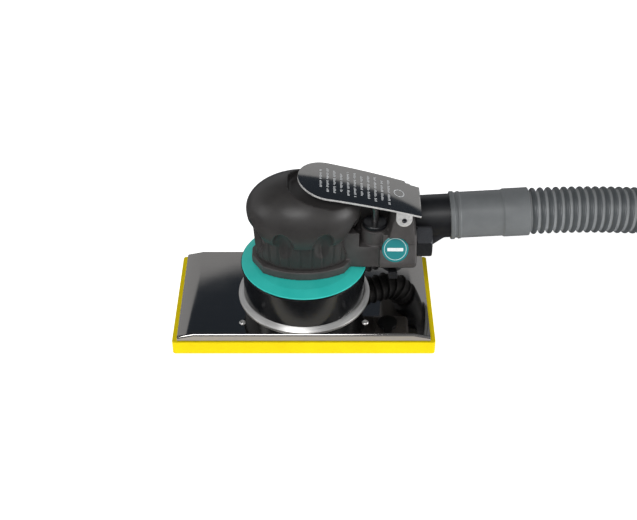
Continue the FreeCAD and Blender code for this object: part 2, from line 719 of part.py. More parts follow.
def valve_stem():
    z0 = stem_seat_z - STEM_DISC_T
    top = lever_under(VALVE_X + STEM_R) - STEM_GAP
    disc = cyl(STEM_DISC_R, STEM_DISC_T, V(VALVE_X, 0, z0))
    rod = cyl(STEM_R, top - z0, V(VALVE_X, 0, z0))
    rod = rod.makeFillet(0.9, [e for e in rod.Edges if e.BoundBox.ZMin > top - 0.01])
    guide = cyl(STEM_R - 0.6, 4.0, V(VALVE_X, 0, z0 - 4.0))
    return join([disc, rod, guide])


def valve_seat():
    return tube(VALVE_BORE_R - SEAT, STEM_R + 1.2, SEAT_T, V(VALVE_X, 0, stem_seat_z))


def valve_bush():
    """Guide sleeve between the seat and the cap, holding the stem seal."""
    z0 = stem_seat_z + SEAT_T
    top = boss_top - VALVE_CAP_THREAD_H
    shape = tube(VALVE_BORE_R - SEAT, STEM_R + FIT, top - z0, V(VALVE_X, 0, z0))
    return shape.cut(cyl(STEM_R + 1.0, 2.0, V(VALVE_X, 0, top - 2.0)))


def stem_seal():
    top = boss_top - VALVE_CAP_THREAD_H
    return Part.makeTorus(STEM_R + 0.52, 0.45, V(VALVE_X, 0, top - 1.0))


def valve_cap():
    neck = cyl(VALVE_BORE_R - SEAT, VALVE_CAP_THREAD_H, V(VALVE_X, 0, boss_top - VALVE_CAP_THREAD_H))
    head = cyl(VALVE_CAP_R, VALVE_CAP_H, V(VALVE_X, 0, boss_top))
    head = head.makeFillet(0.8, [e for e in head.Edges if e.BoundBox.ZMin > boss_top + VALVE_CAP_H - 0.01])
    return join([neck, head]).cut(cyl(STEM_R + FIT, 40, V(VALVE_X, 0, boss_top - 20)))


def valve_spring():
    """Coil spring between the floor of the valve bore and the stem's disc."""
    wire_r = 0.4
    z0 = base + VALVE_FLOOR + wire_r + 0.05
    height = stem_seat_z - STEM_DISC_T - z0 - wire_r - 0.05
    radius = 3.2
    helix = Part.makeHelix(height / 5.0, height, radius)
    profile = Part.Wire(Part.Circle(V(radius, 0, 0), V(0, 1, 0), wire_r).toShape())
    coil = Part.Wire(helix).makePipeShell([profile], True, True)
    return moved(coil, V(VALVE_X, 0, z0))


def inlet_bushing():
    x0 = BLOCK_X[1]
    z = base + INLET_H
    corner = INLET_FLATS / math.sqrt(3.0)
    wide = corner + INLET_LENGTH
    outline = [(x0, p.x, z + p.y) for p in ring_points(6, corner, 90.0)]
    hexagon = prism(outline, (INLET_LENGTH, 0, 0))
    cone = Part.makeCone(corner - 1.0, wide - 1.0, INLET_LENGTH, V(x0, 0, z), V(1, 0, 0))
    chamfer = Part.makeCone(wide - 1.2, corner - 1.2, INLET_LENGTH, V(x0, 0, z), V(1, 0, 0))
    hexagon = hexagon.common(cone).common(chamfer)
    shank = cyl(INLET_SHANK_R - SEAT, INLET_SHANK_L - 1.5, V(x0 - INLET_SHANK_L + 1.5, 0, z), V(1, 0, 0))
    return join([hexagon, shank]).cut(cyl(INLET_BORE_R, 60, V(x0 - 30, 0, z), V(1, 0, 0)))


def inlet_screen():
    z = base + INLET_H
    disc = cyl(INLET_SHANK_R - SEAT, 1.2, V(BLOCK_X[1] - INLET_SHANK_L, 0, z), V(1, 0, 0))
    holes = [cyl(0.9, 3.0, V(BLOCK_X[1] - INLET_SHANK_L - 1, p.x, z + p.y), V(1, 0, 0))
             for r, n in ((0.0, 1), (2.6, 6), (4.9, 12)) for p in ring_points(n, r)]
    return disc.cut(holes)


def speed_regulator():
    z1 = block_low - 0.3
    z0 = z1 - REG_T
    disc = cyl(REG_R, REG_T, V(REG_X, REG_Y, z0))
    shaft = cyl(REG_SHAFT_R, REG_T + 8.0, V(REG_X, REG_Y, z0))
    y0 = -REG_TAB_REACH
    arm = block(REG_X - REG_TAB_W / 2, REG_X + REG_TAB_W / 2, y0, REG_Y, z0, z1)
    tab = block(REG_X - REG_TAB_W / 2, REG_X + REG_TAB_W / 2, y0 - 1.6, y0, z0, z1 + 2.6)
    return join([disc, shaft, arm, tab])


# ---------------------------------------------------------------- exhaust and hose
def duct_form(inset, start, reach):
    level = cyl(DUCT_R - inset, reach - start, on_duct(start), out_dir)
    branch = Part.makeCone(DUCT_FOOT_R - inset, DUCT_R - inset - 0.4, branch_len, duct_foot, branch_dir)
    return level, branch


def exhaust_duct():
    end = DUCT_END_X + CUFF_OVERLAP
    level, branch = duct_form(0.0, DUCT_START_X - 2.0, end)
    outer = level.cut(block(0, DUCT_START_X, 0, 60, 0, 100)).fuse(branch)
    level, branch = duct_form(DUCT_WALL, DUCT_START_X + 2.5, end + 5)
    inner = level.fuse(branch.cut(cyl(DUCT_FOOT_R, DUCT_WALL, duct_foot, branch_dir)))
    mouth = cyl(BELLOWS_R - BELLOWS_WALL, 6.0, duct_foot - branch_dir * 2.0, branch_dir)
    nozzle_hole = cyl(NOZZLE_R, 25.0, V(DUCT_START_X - 13.0, DUCT_Y, nozzle_z), V(1, 0, 0))
    return outer.cut([inner, mouth, nozzle_hole])


def ejector_nozzle():
    at = V(DUCT_START_X - 9.5, DUCT_Y, nozzle_z)
    body = cyl(NOZZLE_R - SEAT, 14.0, at, V(1, 0, 0))
    tip = Part.makeCone(NOZZLE_R - SEAT, NOZZLE_BORE_R + 0.8, 8.0, at + V(14.0, 0, 0), V(1, 0, 0))
    return join([body, tip]).cut(cyl(NOZZLE_BORE_R, 40, at - V(5, 0, 0), V(1, 0, 0)))


def bent_tube(points, outer, inner, report=None):
    """Tube along straight runs joined by tangent arcs, and its path; can print its bend radii."""
    edges = []
    start = points[0]
    radii = []
    for a, b, c in zip(points, points[1:], points[2:]):
        d1 = b - a
        d2 = c - b
        l1, l2 = d1.Length, d2.Length
        d1.normalize()
        d2.normalize()
        half = d1.getAngle(d2) / 2.0
        setback = BEND_SHARE * min(l1, l2)
        radii.append(setback / math.tan(half))
        p, q = b - d1 * setback, b + d2 * setback
        middle = b + (d2 - d1).normalize() * (radii[-1] / math.cos(half) - radii[-1])
        if (p - start).Length > 1e-6:
            edges.append(Part.LineSegment(start, p).toShape())
        edges.append(Part.Arc(p, middle, q).toShape())
        start = q
    edges.append(Part.LineSegment(start, points[-1]).toShape())
    path = Part.Wire(edges)
    axis = points[1] - points[0]
    solids = []
    for radius in (outer, inner):
        ring = Part.Wire(Part.Circle(points[0], axis, radius).toShape())
        solids.append(path.makePipeShell([ring], True, False))
    shape = solids[0].cut(solids[1])
    if report:
        section = math.pi * (outer ** 2 - inner ** 2)
        print("%s: length %.1f, radii %s, volume %.0f, section x length %.0f" % (
            report, path.Length, ["%.0f" % r for r in radii], shape.Volume, section * path.Length))
    return shape, path


def exhaust_bellows():
    """Ribbed rubber elbow from the skirt's spigot up to the duct's foot."""
    first = port_dir * (SKIRT_R + 0.2) + V(0, 0, port_z)
    shape, path = bent_tube([first, bellows_corner, duct_foot], BELLOWS_R, BELLOWS_R - BELLOWS_WALL)
    spots = path.discretize(Number=int(path.Length / BELLOWS_PITCH))
    ribs = []
    for before, spot, after in zip(spots, spots[1:], spots[2:]):
        run = after - before
        run.normalize()
        low = spot - run * BELLOWS_RIB_T / 2
        ribs.append(tube(BELLOWS_R + BELLOWS_RIB, BELLOWS_R - 0.6, BELLOWS_RIB_T, low, run))
    return shape.fuse(ribs)


hose_start = on_duct(DUCT_END_X + CUFF_LENGTH * out_dir.x)
HOSE_POINTS = [
    hose_start,
    on_duct(184.0),
    V(240.0, 29.0, 64.0),
    V(299.0, 37.0, 54.0),
    V(355.0, 60.0, 39.0),
    V(402.0, 97.0, 25.0),
    V(437.0, 145.0, 17.0),
    V(458.0, 202.0, 16.4),
    V(462.0, 264.0, 16.4),
    V(456.7, 304.0, 16.4),
]


def hose_cuff():
    at = on_duct(DUCT_END_X)
    ring_l = CUFF_RING_L
    parts = [
        cyl(CUFF_R, CUFF_LENGTH, at, out_dir),
        cyl(CUFF_BEAD_R, 2.6, at, out_dir),
        cyl(CUFF_BEAD_R, ring_l, at + out_dir * (CUFF_LENGTH - ring_l), out_dir),
    ]
    socket = cyl(DUCT_R + SEAT, CUFF_OVERLAP + 0.5, at, out_dir)
    return join(parts).cut([socket, cyl(HOSE_BORE_R, CUFF_LENGTH + 1, at, out_dir)])


def dust_hose():
    return bent_tube(HOSE_POINTS, HOSE_R, HOSE_BORE_R, report="dust hose")[0]


def bag_connector():
    run = HOSE_POINTS[-1] - HOSE_POINTS[-2]
    at = HOSE_POINTS[-1]
    return tube(CONNECTOR_R, CONNECTOR_BORE_R, CONNECTOR_L, at, run)


# ---------------------------------------------------------------- all pieces
NODES = {
    "hook_facing": hook_facing,
    "foam_pad": foam_pad,
    "pad_core": pad_core,
    "backing_plate": backing_plate,
    "collar": collar,
    "pad_screws": pad_screws,
    "post_screws": post_screws,
    "spindle": spindle,
    "spindle_washer": spindle_washer,
    "spindle_bolt": spindle_bolt,
    "eccentric_shaft": eccentric_shaft,
    "counterweight": counterweight,
    "rotor": rotor,
    "rotor_vanes": rotor_vanes,
    "spindle_snap_ring": snap_ring,
    "spindle_bearing_low": lambda: bearing(SPINDLE_BEARING, pad_centre + V(0, 0, spindle_bearing_z)),
    "spindle_bearing_high": lambda: bearing(
        SPINDLE_BEARING, pad_centre + V(0, 0, spindle_bearing_z + SPINDLE_BEARING[2])),
    "lower_bearing": lambda: bearing(LOWER_BEARING, V(0, 0, lower_bearing_z)),
    "upper_bearing": lambda: bearing(UPPER_BEARING, V(0, 0, upper_bearing_z)),
    "lower_end_plate": lower_end_plate,
    "upper_end_plate": upper_end_plate,
    "cylinder_liner": cylinder_liner,
    "motor_lock_ring": motor_lock_ring,
    "skirt": skirt,
    "clamp_ring": clamp_ring,
    "flange_screws": flange_screws,
    "support_posts": support_posts,
    "motor_housing": motor_housing,
    "grip_cover": grip_cover,
    "badge": badge,
    "throttle_lever": throttle_lever,
    "lever_pin": lever_pin,
    "valve_stem": valve_stem,
    "valve_seat": valve_seat,
    "valve_bush": valve_bush,
    "stem_seal": stem_seal,
    "valve_cap": valve_cap,
    "valve_spring": valve_spring,
    "inlet_bushing": inlet_bushing,
    "inlet_screen": inlet_screen,
    "speed_regulator": speed_regulator,
    "exhaust_duct": exhaust_duct,
    "ejector_nozzle": ejector_nozzle,
    "exhaust_bellows": exhaust_bellows,
    "hose_cuff": hose_cuff,
    "dust_hose": dust_hose,
    "bag_connector": bag_connector,
}

for node, make in NODES.items():
    save(node, make())
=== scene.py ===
import bmesh
import bpy
import math
from mathutils import Matrix, Vector


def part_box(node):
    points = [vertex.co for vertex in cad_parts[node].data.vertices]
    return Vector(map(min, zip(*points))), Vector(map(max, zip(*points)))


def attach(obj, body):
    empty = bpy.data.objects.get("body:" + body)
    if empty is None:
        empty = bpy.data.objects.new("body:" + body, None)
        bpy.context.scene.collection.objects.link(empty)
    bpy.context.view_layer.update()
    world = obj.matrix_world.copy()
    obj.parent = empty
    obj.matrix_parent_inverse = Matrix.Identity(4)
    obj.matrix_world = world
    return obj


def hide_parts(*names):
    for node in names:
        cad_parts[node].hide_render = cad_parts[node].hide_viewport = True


# Palm orbital sander with a rectangular pad and a dust hose, dressed over its CAD frame. Metres.

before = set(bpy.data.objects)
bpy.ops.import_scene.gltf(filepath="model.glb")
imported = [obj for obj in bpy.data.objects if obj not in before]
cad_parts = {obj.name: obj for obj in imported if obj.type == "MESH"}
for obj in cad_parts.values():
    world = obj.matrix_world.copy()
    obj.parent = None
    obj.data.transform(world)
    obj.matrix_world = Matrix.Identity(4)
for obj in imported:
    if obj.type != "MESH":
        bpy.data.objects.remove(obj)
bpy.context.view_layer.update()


# ==================================================================== studio
# White table, one large soft box in front and above, a smaller one on each side, and a dark
# slate card behind the tool, which polished metal mirrors as a dark field with a sharp edge.
mm = 0.001
TARGET = Vector((9.8, 5.1, 40.0)) * mm
CAMERA_TILT = math.radians(37.9)      # above the horizon
CAMERA_AWAY = 817 * mm
LENS = 67.9                           # mm, on a 36 mm wide sensor
CARD_EDGE = math.sin(math.radians(38.3))   # lower edge of the card, above the horizon
CARD_TOP = math.sin(math.radians(76.0))
TABLE_HALF = 60.0                     # metres each way, so that no edge of the table shows
KEY_POWER = 9.0                       # watts
STRIP_REACH = (45.6 * mm, 65 * mm)    # white strip on the table along the pad


def linear(hex_colour):
    """sRGB hex to linear RGBA."""
    parts = [int(hex_colour[i:i + 2], 16) / 255 for i in (1, 3, 5)]
    return tuple(p / 12.92 if p <= 0.04045 else ((p + 0.055) / 1.055) ** 2.4 for p in parts) + (1.0,)


def add(tree, kind, inputs=None, links=None, stops=None, **settings):
    """One node with its settings, input values, linked sources and, on a ramp, its (place, colour) stops."""
    made = tree.nodes.new(kind)
    for name, value in settings.items():
        setattr(made, name, value)
    for name, value in (inputs or {}).items():
        made.inputs[name].default_value = value
    for name, source in (links or {}).items():
        tree.links.new(source, made.inputs[name])
    for i, (place, colour) in enumerate(stops or []):
        stop = made.color_ramp.elements[i] if i < 2 else made.color_ramp.elements.new(place)
        stop.position = place
        stop.color = linear(colour)
    return made


def link_in(obj):
    bpy.context.scene.collection.objects.link(obj)
    return obj


camera_data = bpy.data.cameras.new("camera")
camera_data.lens = LENS
camera_data.sensor_width = 36
camera = link_in(bpy.data.objects.new("camera", camera_data))
camera.location = TARGET + Vector((0, -math.cos(CAMERA_TILT), math.sin(CAMERA_TILT))) * CAMERA_AWAY
camera.rotation_euler = (math.radians(90) - CAMERA_TILT, 0, 0)
bpy.context.scene.camera = camera
bpy.context.scene.view_settings.view_transform = "Standard"

world = bpy.data.worlds.new("studio")
world.use_nodes = True
bpy.context.scene.world = world
walls = world.node_tree
walls.nodes.clear()
way = add(walls, "ShaderNodeTexCoord").outputs["Generated"]
axes = add(walls, "ShaderNodeSeparateXYZ", links={0: way})
height = axes.outputs["Z"]

# Back wall: pale below the card, then dark slate up to its top.
behind = add(
    walls, "ShaderNodeMath", {1: 0.08}, {0: axes.outputs["Y"]}, operation="GREATER_THAN").outputs[0]
back_wall = add(walls, "ShaderNodeValToRGB", links={"Fac": height}, stops=[
    (0.0, "#cfd0d2"), (CARD_EDGE - 0.004, "#a9aaac"), (CARD_EDGE + 0.001, "#353b43"),
    (CARD_TOP, "#1c1e22"), (min(1.0, CARD_TOP + 0.02), "#6f7072")]).outputs["Color"]

# Front wall: pale up to the middle, one dark band, then a grey ceiling.
front_wall = add(walls, "ShaderNodeValToRGB", links={"Fac": height}, stops=[
    (0.0, "#b5b6b9"), (0.46, "#c2c3c5"), (0.51, "#3c3d40"), (0.72, "#3c3d40"), (0.80, "#8a8b8d"),
    (1.0, "#626366")]).outputs["Color"]

# Two upright pale bars round the room, which round gloss surfaces mirror as streaks.
turn = add(
    walls, "ShaderNodeMath", {}, {0: axes.outputs["X"], 1: axes.outputs["Y"]},
    operation="ARCTAN2").outputs[0]
compass = add(
    walls, "ShaderNodeMapRange", {"From Min": -math.pi, "From Max": math.pi},
    {"Value": turn}).outputs["Result"]
bars = add(walls, "ShaderNodeValToRGB", links={"Fac": compass}, stops=[
    (0.0, "#000000"), (0.165, "#000000"), (0.19, "#8d8e91"), (0.23, "#8d8e91"), (0.25, "#000000"),
    (0.78, "#000000"), (0.80, "#c3c4c6"), (0.85, "#c3c4c6"), (0.88, "#000000")]).outputs["Color"]
front_wall = add(
    walls, "ShaderNodeMixRGB", {"Fac": 1.0}, {"Color1": front_wall, "Color2": bars},
    blend_type="LIGHTEN").outputs["Color"]
upper = add(
    walls, "ShaderNodeMixRGB", {},
    {"Fac": behind, "Color1": front_wall, "Color2": back_wall}).outputs["Color"]

# Below the horizon: dark, with pale patches where the table is bright.
table_glow = add(walls, "ShaderNodeValToRGB", links={"Fac": compass}, stops=[
    (0.0, "#34353a"), (0.155, "#2b2c30"), (0.185, "#9a9ba0"), (0.215, "#2b2c30"), (0.36, "#55565a"),
    (0.62, "#4a4b4e"), (0.70, "#2b2c30"), (0.785, "#c9cacc"), (0.835, "#34353a"),
    (1.0, "#34353a")]).outputs["Color"]
below = add(walls, "ShaderNodeMath", {1: 0.0}, {0: height}, operation="LESS_THAN").outputs[0]
all_round = add(
    walls, "ShaderNodeMixRGB", {}, {"Fac": below, "Color1": upper, "Color2": table_glow}).outputs["Color"]
glow = add(walls, "ShaderNodeBackground", {"Strength": 1.0}, {"Color": all_round})
add(walls, "ShaderNodeOutputWorld", {}, {"Surface": glow.outputs["Background"]})


def soft_box(name, place, look_at, width, tall, power):
    lamp = bpy.data.lights.new(name, "AREA")
    lamp.shape = "RECTANGLE"
    lamp.size = width
    lamp.size_y = tall
    lamp.energy = power
    obj = link_in(bpy.data.objects.new(name, lamp))
    obj.location = place
    obj.rotation_euler = (Vector(look_at) - Vector(place)).to_track_quat("-Z", "Y").to_euler()
    return obj


soft_box("key_light", (-0.25, -0.95, 1.15), (0.02, 0, 0.05), 0.75, 0.45, KEY_POWER)
soft_box("left_light", (-1.3, -0.3, 0.55), (0, 0, 0.05), 0.4, 0.6, 2.5)
soft_box("right_light", (1.4, -0.35, 0.32), (0.1, 0, 0.02), 0.5, 0.5, 8.0)


def stage_sheet(name, x0, x1, y0, y1, z):
    data = bpy.data.meshes.new(name)
    data.from_pydata([(x0, y0, z), (x1, y0, z), (x1, y1, z), (x0, y1, z)], [], [(0, 1, 2, 3)])
    obj = link_in(bpy.data.objects.new(name, data))
    return obj


# White laminate table top: even, matt, and lit until it is the lightest thing in sight.
laminate = bpy.data.materials.new("white_laminate")
laminate.use_nodes = True
top = laminate.node_tree.nodes["Principled BSDF"]
top.inputs["Base Color"].default_value = linear("#f2f2f2")
top.inputs["Roughness"].default_value = 0.9
top.inputs["Specular IOR Level"].default_value = 0.0
top.inputs["Emission Color"].default_value = (1, 1, 1, 1)
top.inputs["Emission Strength"].default_value = 0.8
table = stage_sheet("table", -TABLE_HALF, TABLE_HALF, -TABLE_HALF, TABLE_HALF, -0.4 * mm)
table.data.materials.append(laminate)
table.visible_glossy = False

# White paper strip in front of the pad: only the pan's front flange mirrors it.
paper = bpy.data.materials.new("white_paper")
paper.use_nodes = True
sheet = paper.node_tree.nodes["Principled BSDF"]
sheet.inputs["Base Color"].default_value = linear("#e8e6e2")
sheet.inputs["Emission Color"].default_value = linear("#f6f0ea")
sheet.inputs["Emission Strength"].default_value = 0.3
strip = stage_sheet("paper_strip", -0.12, 0.12, -STRIP_REACH[1], -STRIP_REACH[0], -0.2 * mm)
strip.data.materials.append(paper)
strip.visible_camera = False
strip.visible_shadow = False
strip.visible_diffuse = False


# ==================================================================== dust hose
# Flexible dust hose, 31 mm over its ribs, blown from soft grey EVA: rounded dark ribs round it
# with a thin paler web between them. It is screwed into the cuff and lies down to the table.
HOSE_ROUTE = [
    (0.15259, 0.028, 0.06445), (0.184, 0.028, 0.066485), (0.240, 0.029, 0.064), (0.299, 0.037, 0.054),
    (0.355, 0.060, 0.039), (0.402, 0.097, 0.025), (0.437, 0.145, 0.017), (0.458, 0.202, 0.0164),
    (0.462, 0.264, 0.0164), (0.4567, 0.304, 0.0164),
]
RIB_PITCH = 5.3 * mm
RIB_CREST = 15.9 * mm
RIB_ROOT = 13.4 * mm
WEB_SHARE = 0.25            # part of the pitch that is web
HOSE_BORE = 12.6 * mm
STEPS_PER_RIB = 10
HOSE_SIDES = 48


def mesh_piece(name, verts, faces, material=None, smooth=True):
    data = bpy.data.meshes.new(name)
    data.from_pydata([tuple(v) for v in verts], [], faces)
    data.validate()
    data.shade_smooth() if smooth else data.shade_flat()
    obj = link_in(bpy.data.objects.new(name, data))
    if material:
        data.materials.append(material)
    return obj


def finish_of(name, inputs):
    """A new material with its shader's own values, and its tree and shader."""
    made = bpy.data.materials.new(name)
    made.use_nodes = True
    shader = made.node_tree.nodes["Principled BSDF"]
    for key, value in inputs.items():
        shader.inputs[key].default_value = value
    return made, made.node_tree, shader


def spline_points(route):
    """Points along the smooth line that the route controls."""
    data = bpy.data.curves.new("route", "CURVE")
    data.dimensions = "3D"
    spline = data.splines.new("NURBS")
    spline.points.add(len(route) - 1)
    for point, place in zip(spline.points, route):
        point.co = (*place, 1.0)
    spline.order_u = 3
    spline.use_endpoint_u = True
    spline.resolution_u = 24
    obj = bpy.data.objects.new("route", data)
    line = bpy.data.meshes.new_from_object(obj)
    points = [v.co.copy() for v in line.vertices]
    bpy.data.objects.remove(obj)
    bpy.data.meshes.remove(line)
    return points


def even_points(points, step):
    """The same line with points a step apart, and the whole line's length."""
    out = [points[0]]
    total, target = 0.0, step
    for a, b in zip(points, points[1:]):
        run = (b - a).length
        while run > 0 and target <= total + run:
            out.append(a.lerp(b, (target - total) / run))
            target += step
        total += run
    return out, total


def rings_along(points, sides, radius_at):
    """Ring vertices square to a line; radius_at(ring, angle share) gives each distance out."""
    verts = []
    tangent = (points[1] - points[0]).normalized()
    up = Vector((0, 0, 1))
    up = (up - tangent * up.dot(tangent)).normalized()
    for i, place in enumerate(points):
        ahead = points[min(i + 1, len(points) - 1)] - points[max(i - 1, 0)]
        tangent = ahead.normalized()
        up = (up - tangent * up.dot(tangent)).normalized()
        side = tangent.cross(up)
        for k in range(sides):
            a = 2 * math.pi * k / sides
            verts.append(place + (up * math.cos(a) + side * math.sin(a)) * radius_at(i, k / sides))
    return verts


def bands(rings, sides, first=0, close=False):
    """Quads between rings of vertices; closed joins the last ring to the first."""
    faces = []
    for i in range(rings if close else rings - 1):
        a, b = first + i * sides, first + ((i + 1) % rings) * sides
        faces += [(a + k, a + (k + 1) % sides, b + (k + 1) % sides, b + k) for k in range(sides)]
    return faces


def rib_height(share):
    """0 on the web, 1 on the crest of a rib, at a share of the pitch."""
    share %= 1.0
    if share < WEB_SHARE:
        return 0.0
    across = (share - WEB_SHARE) / (1 - WEB_SHARE) * 2 - 1
    return max(0.0, 1 - across * across) ** 0.5


hose_line, hose_length = even_points(spline_points(HOSE_ROUTE), RIB_PITCH / STEPS_PER_RIB)
outer = rings_along(
    hose_line, HOSE_SIDES, lambda i, k: RIB_ROOT + (RIB_CREST - RIB_ROOT) * rib_height(i / STEPS_PER_RIB))
inner = rings_along(hose_line, HOSE_SIDES, lambda i, k: HOSE_BORE)
count = len(hose_line)
hose_faces = bands(count, HOSE_SIDES)
hose_faces += [tuple(reversed(f)) for f in bands(count, HOSE_SIDES, first=len(outer))]
for end in (0, count - 1):
    a, b = end * HOSE_SIDES, len(outer) + end * HOSE_SIDES
    rim = [(a + k, b + k, b + (k + 1) % HOSE_SIDES, a + (k + 1) % HOSE_SIDES) for k in range(HOSE_SIDES)]
    hose_faces += rim if end == 0 else [tuple(reversed(f)) for f in rim]
hose = mesh_piece("dust_hose_ribbed", outer + inner, hose_faces)
rib = hose.data.attributes.new("rib", "FLOAT", "POINT")
crest_shares = [rib_height(i / STEPS_PER_RIB) for i in range(count) for k in range(HOSE_SIDES)]
rib.data.foreach_set("value", crest_shares + [0.0] * len(inner))

# Blown EVA: dark satin ribs with a soft sheen, and a paler, smoother web between them.
eva, tree, shader = finish_of("blown_eva", {"Roughness": 0.4, "IOR": 1.48, "Specular IOR Level": 0.5})
where = add(tree, "ShaderNodeTexCoord").outputs["Object"]
crest = add(tree, "ShaderNodeAttribute", attribute_name="rib").outputs["Fac"]
eva_colour = add(tree, "ShaderNodeValToRGB", links={"Fac": crest}, stops=[
    (0.0, "#aeb0b1"), (0.30, "#a6a8a9"), (0.60, "#5c6062"), (1.0, "#565a5c")]).outputs["Color"]
scuff = add(
    tree, "ShaderNodeTexNoise", {"Scale": 1 / (9 * mm), "Detail": 6, "Roughness": 0.65},
    {"Vector": where}).outputs["Fac"]
scuffed = add(
    tree, "ShaderNodeMapRange", {"From Min": 0.3, "From Max": 0.7, "To Min": 0.32, "To Max": 0.5},
    {"Value": scuff})
grain = add(
    tree, "ShaderNodeTexNoise", {"Scale": 1 / (0.7 * mm), "Detail": 3}, {"Vector": where}).outputs["Fac"]
dust = add(
    tree, "ShaderNodeMixRGB", {"Fac": 0.12, "Color2": linear("#6e6f70")},
    {"Color1": eva_colour, "Fac": scuff}, blend_type="SOFT_LIGHT")
bump = add(tree, "ShaderNodeBump", {"Strength": 0.35, "Distance": 0.08 * mm}, {"Height": grain})
tree.links.new(dust.outputs["Color"], shader.inputs["Base Color"])
tree.links.new(scuffed.outputs["Result"], shader.inputs["Roughness"])
tree.links.new(bump.outputs["Normal"], shader.inputs["Normal"])
hose.data.materials.append(eva)
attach(hose, "housing")
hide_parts("dust_hose")


# ==================================================================== hose cuff and bag connector
# Soft PVC cuff pushed over the exhaust pipe and screwed on the hose, with grip beads near the
# tool and a thicker ring over the hose. The same moulding, shorter, ends the hose at the dust bag.
CUFF_BORE = 13.0 * mm


def rounded(points, radius, steps=5):
    """Profile with each corner rounded; a corner's third number is a radius of its own."""
    out = []
    n = len(points)
    for i, corner in enumerate(points):
        here = Vector(corner[:2])
        before, after = Vector(points[i - 1][:2]), Vector(points[(i + 1) % n][:2])
        r = corner[2] if len(corner) > 2 else radius
        d1, d2 = (before - here), (after - here)
        if r <= 0 or d1.length < 1e-9 or d2.length < 1e-9:
            out.append(here)
            continue
        angle = d1.angle(d2)
        if angle > math.radians(176):
            out.append(here)
            continue
        back = min(r / math.tan(angle / 2), 0.49 * d1.length, 0.49 * d2.length)
        r = back * math.tan(angle / 2)
        p, q = here + d1.normalized() * back, here + d2.normalized() * back
        centre = here + (d1.normalized() + d2.normalized()).normalized() * (r / math.sin(angle / 2))
        a0, a1 = p - centre, q - centre
        turn_by = a0.angle_signed(a1)
        for s in range(steps + 1):
            t = -turn_by * s / steps
            across = a0.x * math.cos(t) - a0.y * math.sin(t)
            along = a0.x * math.sin(t) + a0.y * math.cos(t)
            out.append(centre + Vector((across, along)))
    return out


def lathe(name, profile, place, axis, material, sides=96):
    """Closed (radius, height) profile turned about an axis."""
    axis = Vector(axis).normalized()
    side = Vector((1, 0, 0)) if abs(axis.z) > 0.9 else Vector((0, 0, 1))
    side = (side - axis * side.dot(axis)).normalized()
    other = axis.cross(side)
    verts = []
    for r, h in profile:
        for k in range(sides):
            a = 2 * math.pi * k / sides
            verts.append(Vector(place) + axis * h + (side * math.cos(a) + other * math.sin(a)) * r)
    made = mesh_piece(name, verts, bands(len(profile), sides, close=True), material)
    facing_out(made)
    return made


def facing_out(obj, sharp=35.0):
    """Outward normals, welded points, and hard edges only where faces turn sharply."""
    bm = bmesh.new()
    bm.from_mesh(obj.data)
    bmesh.ops.remove_doubles(bm, verts=bm.verts, dist=0.002 * mm)
    bmesh.ops.recalc_face_normals(bm, faces=bm.faces)
    for edge in bm.edges:
        edge.smooth = edge.calc_face_angle(0.0) < math.radians(sharp)
    for face in bm.faces:
        face.smooth = True
    bm.to_mesh(obj.data)
    bm.free()
    return obj


# Soft PVC, mid grey and satin, with faint flow marks and a fine bloom.
pvc, tree, shader = finish_of("soft_pvc", {"Roughness": 0.42, "IOR": 1.5, "Specular IOR Level": 0.45})
where = add(tree, "ShaderNodeTexCoord").outputs["Object"]
bloom = add(
    tree, "ShaderNodeTexNoise", {"Scale": 1 / (16 * mm), "Detail": 5, "Roughness": 0.6},
    {"Vector": where}).outputs["Fac"]
pvc_colour = add(
    tree, "ShaderNodeValToRGB", links={"Fac": bloom},
    stops=[(0.3, "#66696a"), (0.7, "#717475")]).outputs["Color"]
satin = add(
    tree, "ShaderNodeMapRange", {"From Min": 0.3, "From Max": 0.7, "To Min": 0.36, "To Max": 0.5},
    {"Value": bloom})
grain = add(
    tree, "ShaderNodeTexNoise", {"Scale": 1 / (0.5 * mm), "Detail": 2}, {"Vector": where}).outputs["Fac"]
bump = add(tree, "ShaderNodeBump", {"Strength": 0.3, "Distance": 0.05 * mm}, {"Height": grain})
tree.links.new(pvc_colour, shader.inputs["Base Color"])
tree.links.new(satin.outputs["Result"], shader.inputs["Roughness"])
tree.links.new(bump.outputs["Normal"], shader.inputs["Normal"])

cuff_end = Vector(HOSE_ROUTE[0])
cuff_axis = (Vector(HOSE_ROUTE[1]) - cuff_end).normalized()
CUFF_LONG = 53.4 * mm
CUFF_R = 15.8 * mm
BEAD_R = 16.5 * mm
RING_LONG = 17 * mm
cuff_start = cuff_end - cuff_axis * CUFF_LONG
cuff_profile = [
    (CUFF_BORE, 0), (BEAD_R, 0), (BEAD_R, 2.6 * mm), (CUFF_R - 0.2 * mm, 3.4 * mm),
    (CUFF_R - 0.2 * mm, 4.6 * mm),
    (BEAD_R - 0.2 * mm, 5.2 * mm), (BEAD_R - 0.2 * mm, 6.6 * mm), (CUFF_R, 7.4 * mm),
    (CUFF_R, CUFF_LONG - RING_LONG - 1.2 * mm), (BEAD_R, CUFF_LONG - RING_LONG), (BEAD_R, CUFF_LONG),
    (CUFF_BORE, CUFF_LONG),
]
cuff = lathe("hose_cuff_moulded", rounded(cuff_profile, 0.6 * mm), cuff_start, cuff_axis, pvc)
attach(cuff, "housing")
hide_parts("hose_cuff")

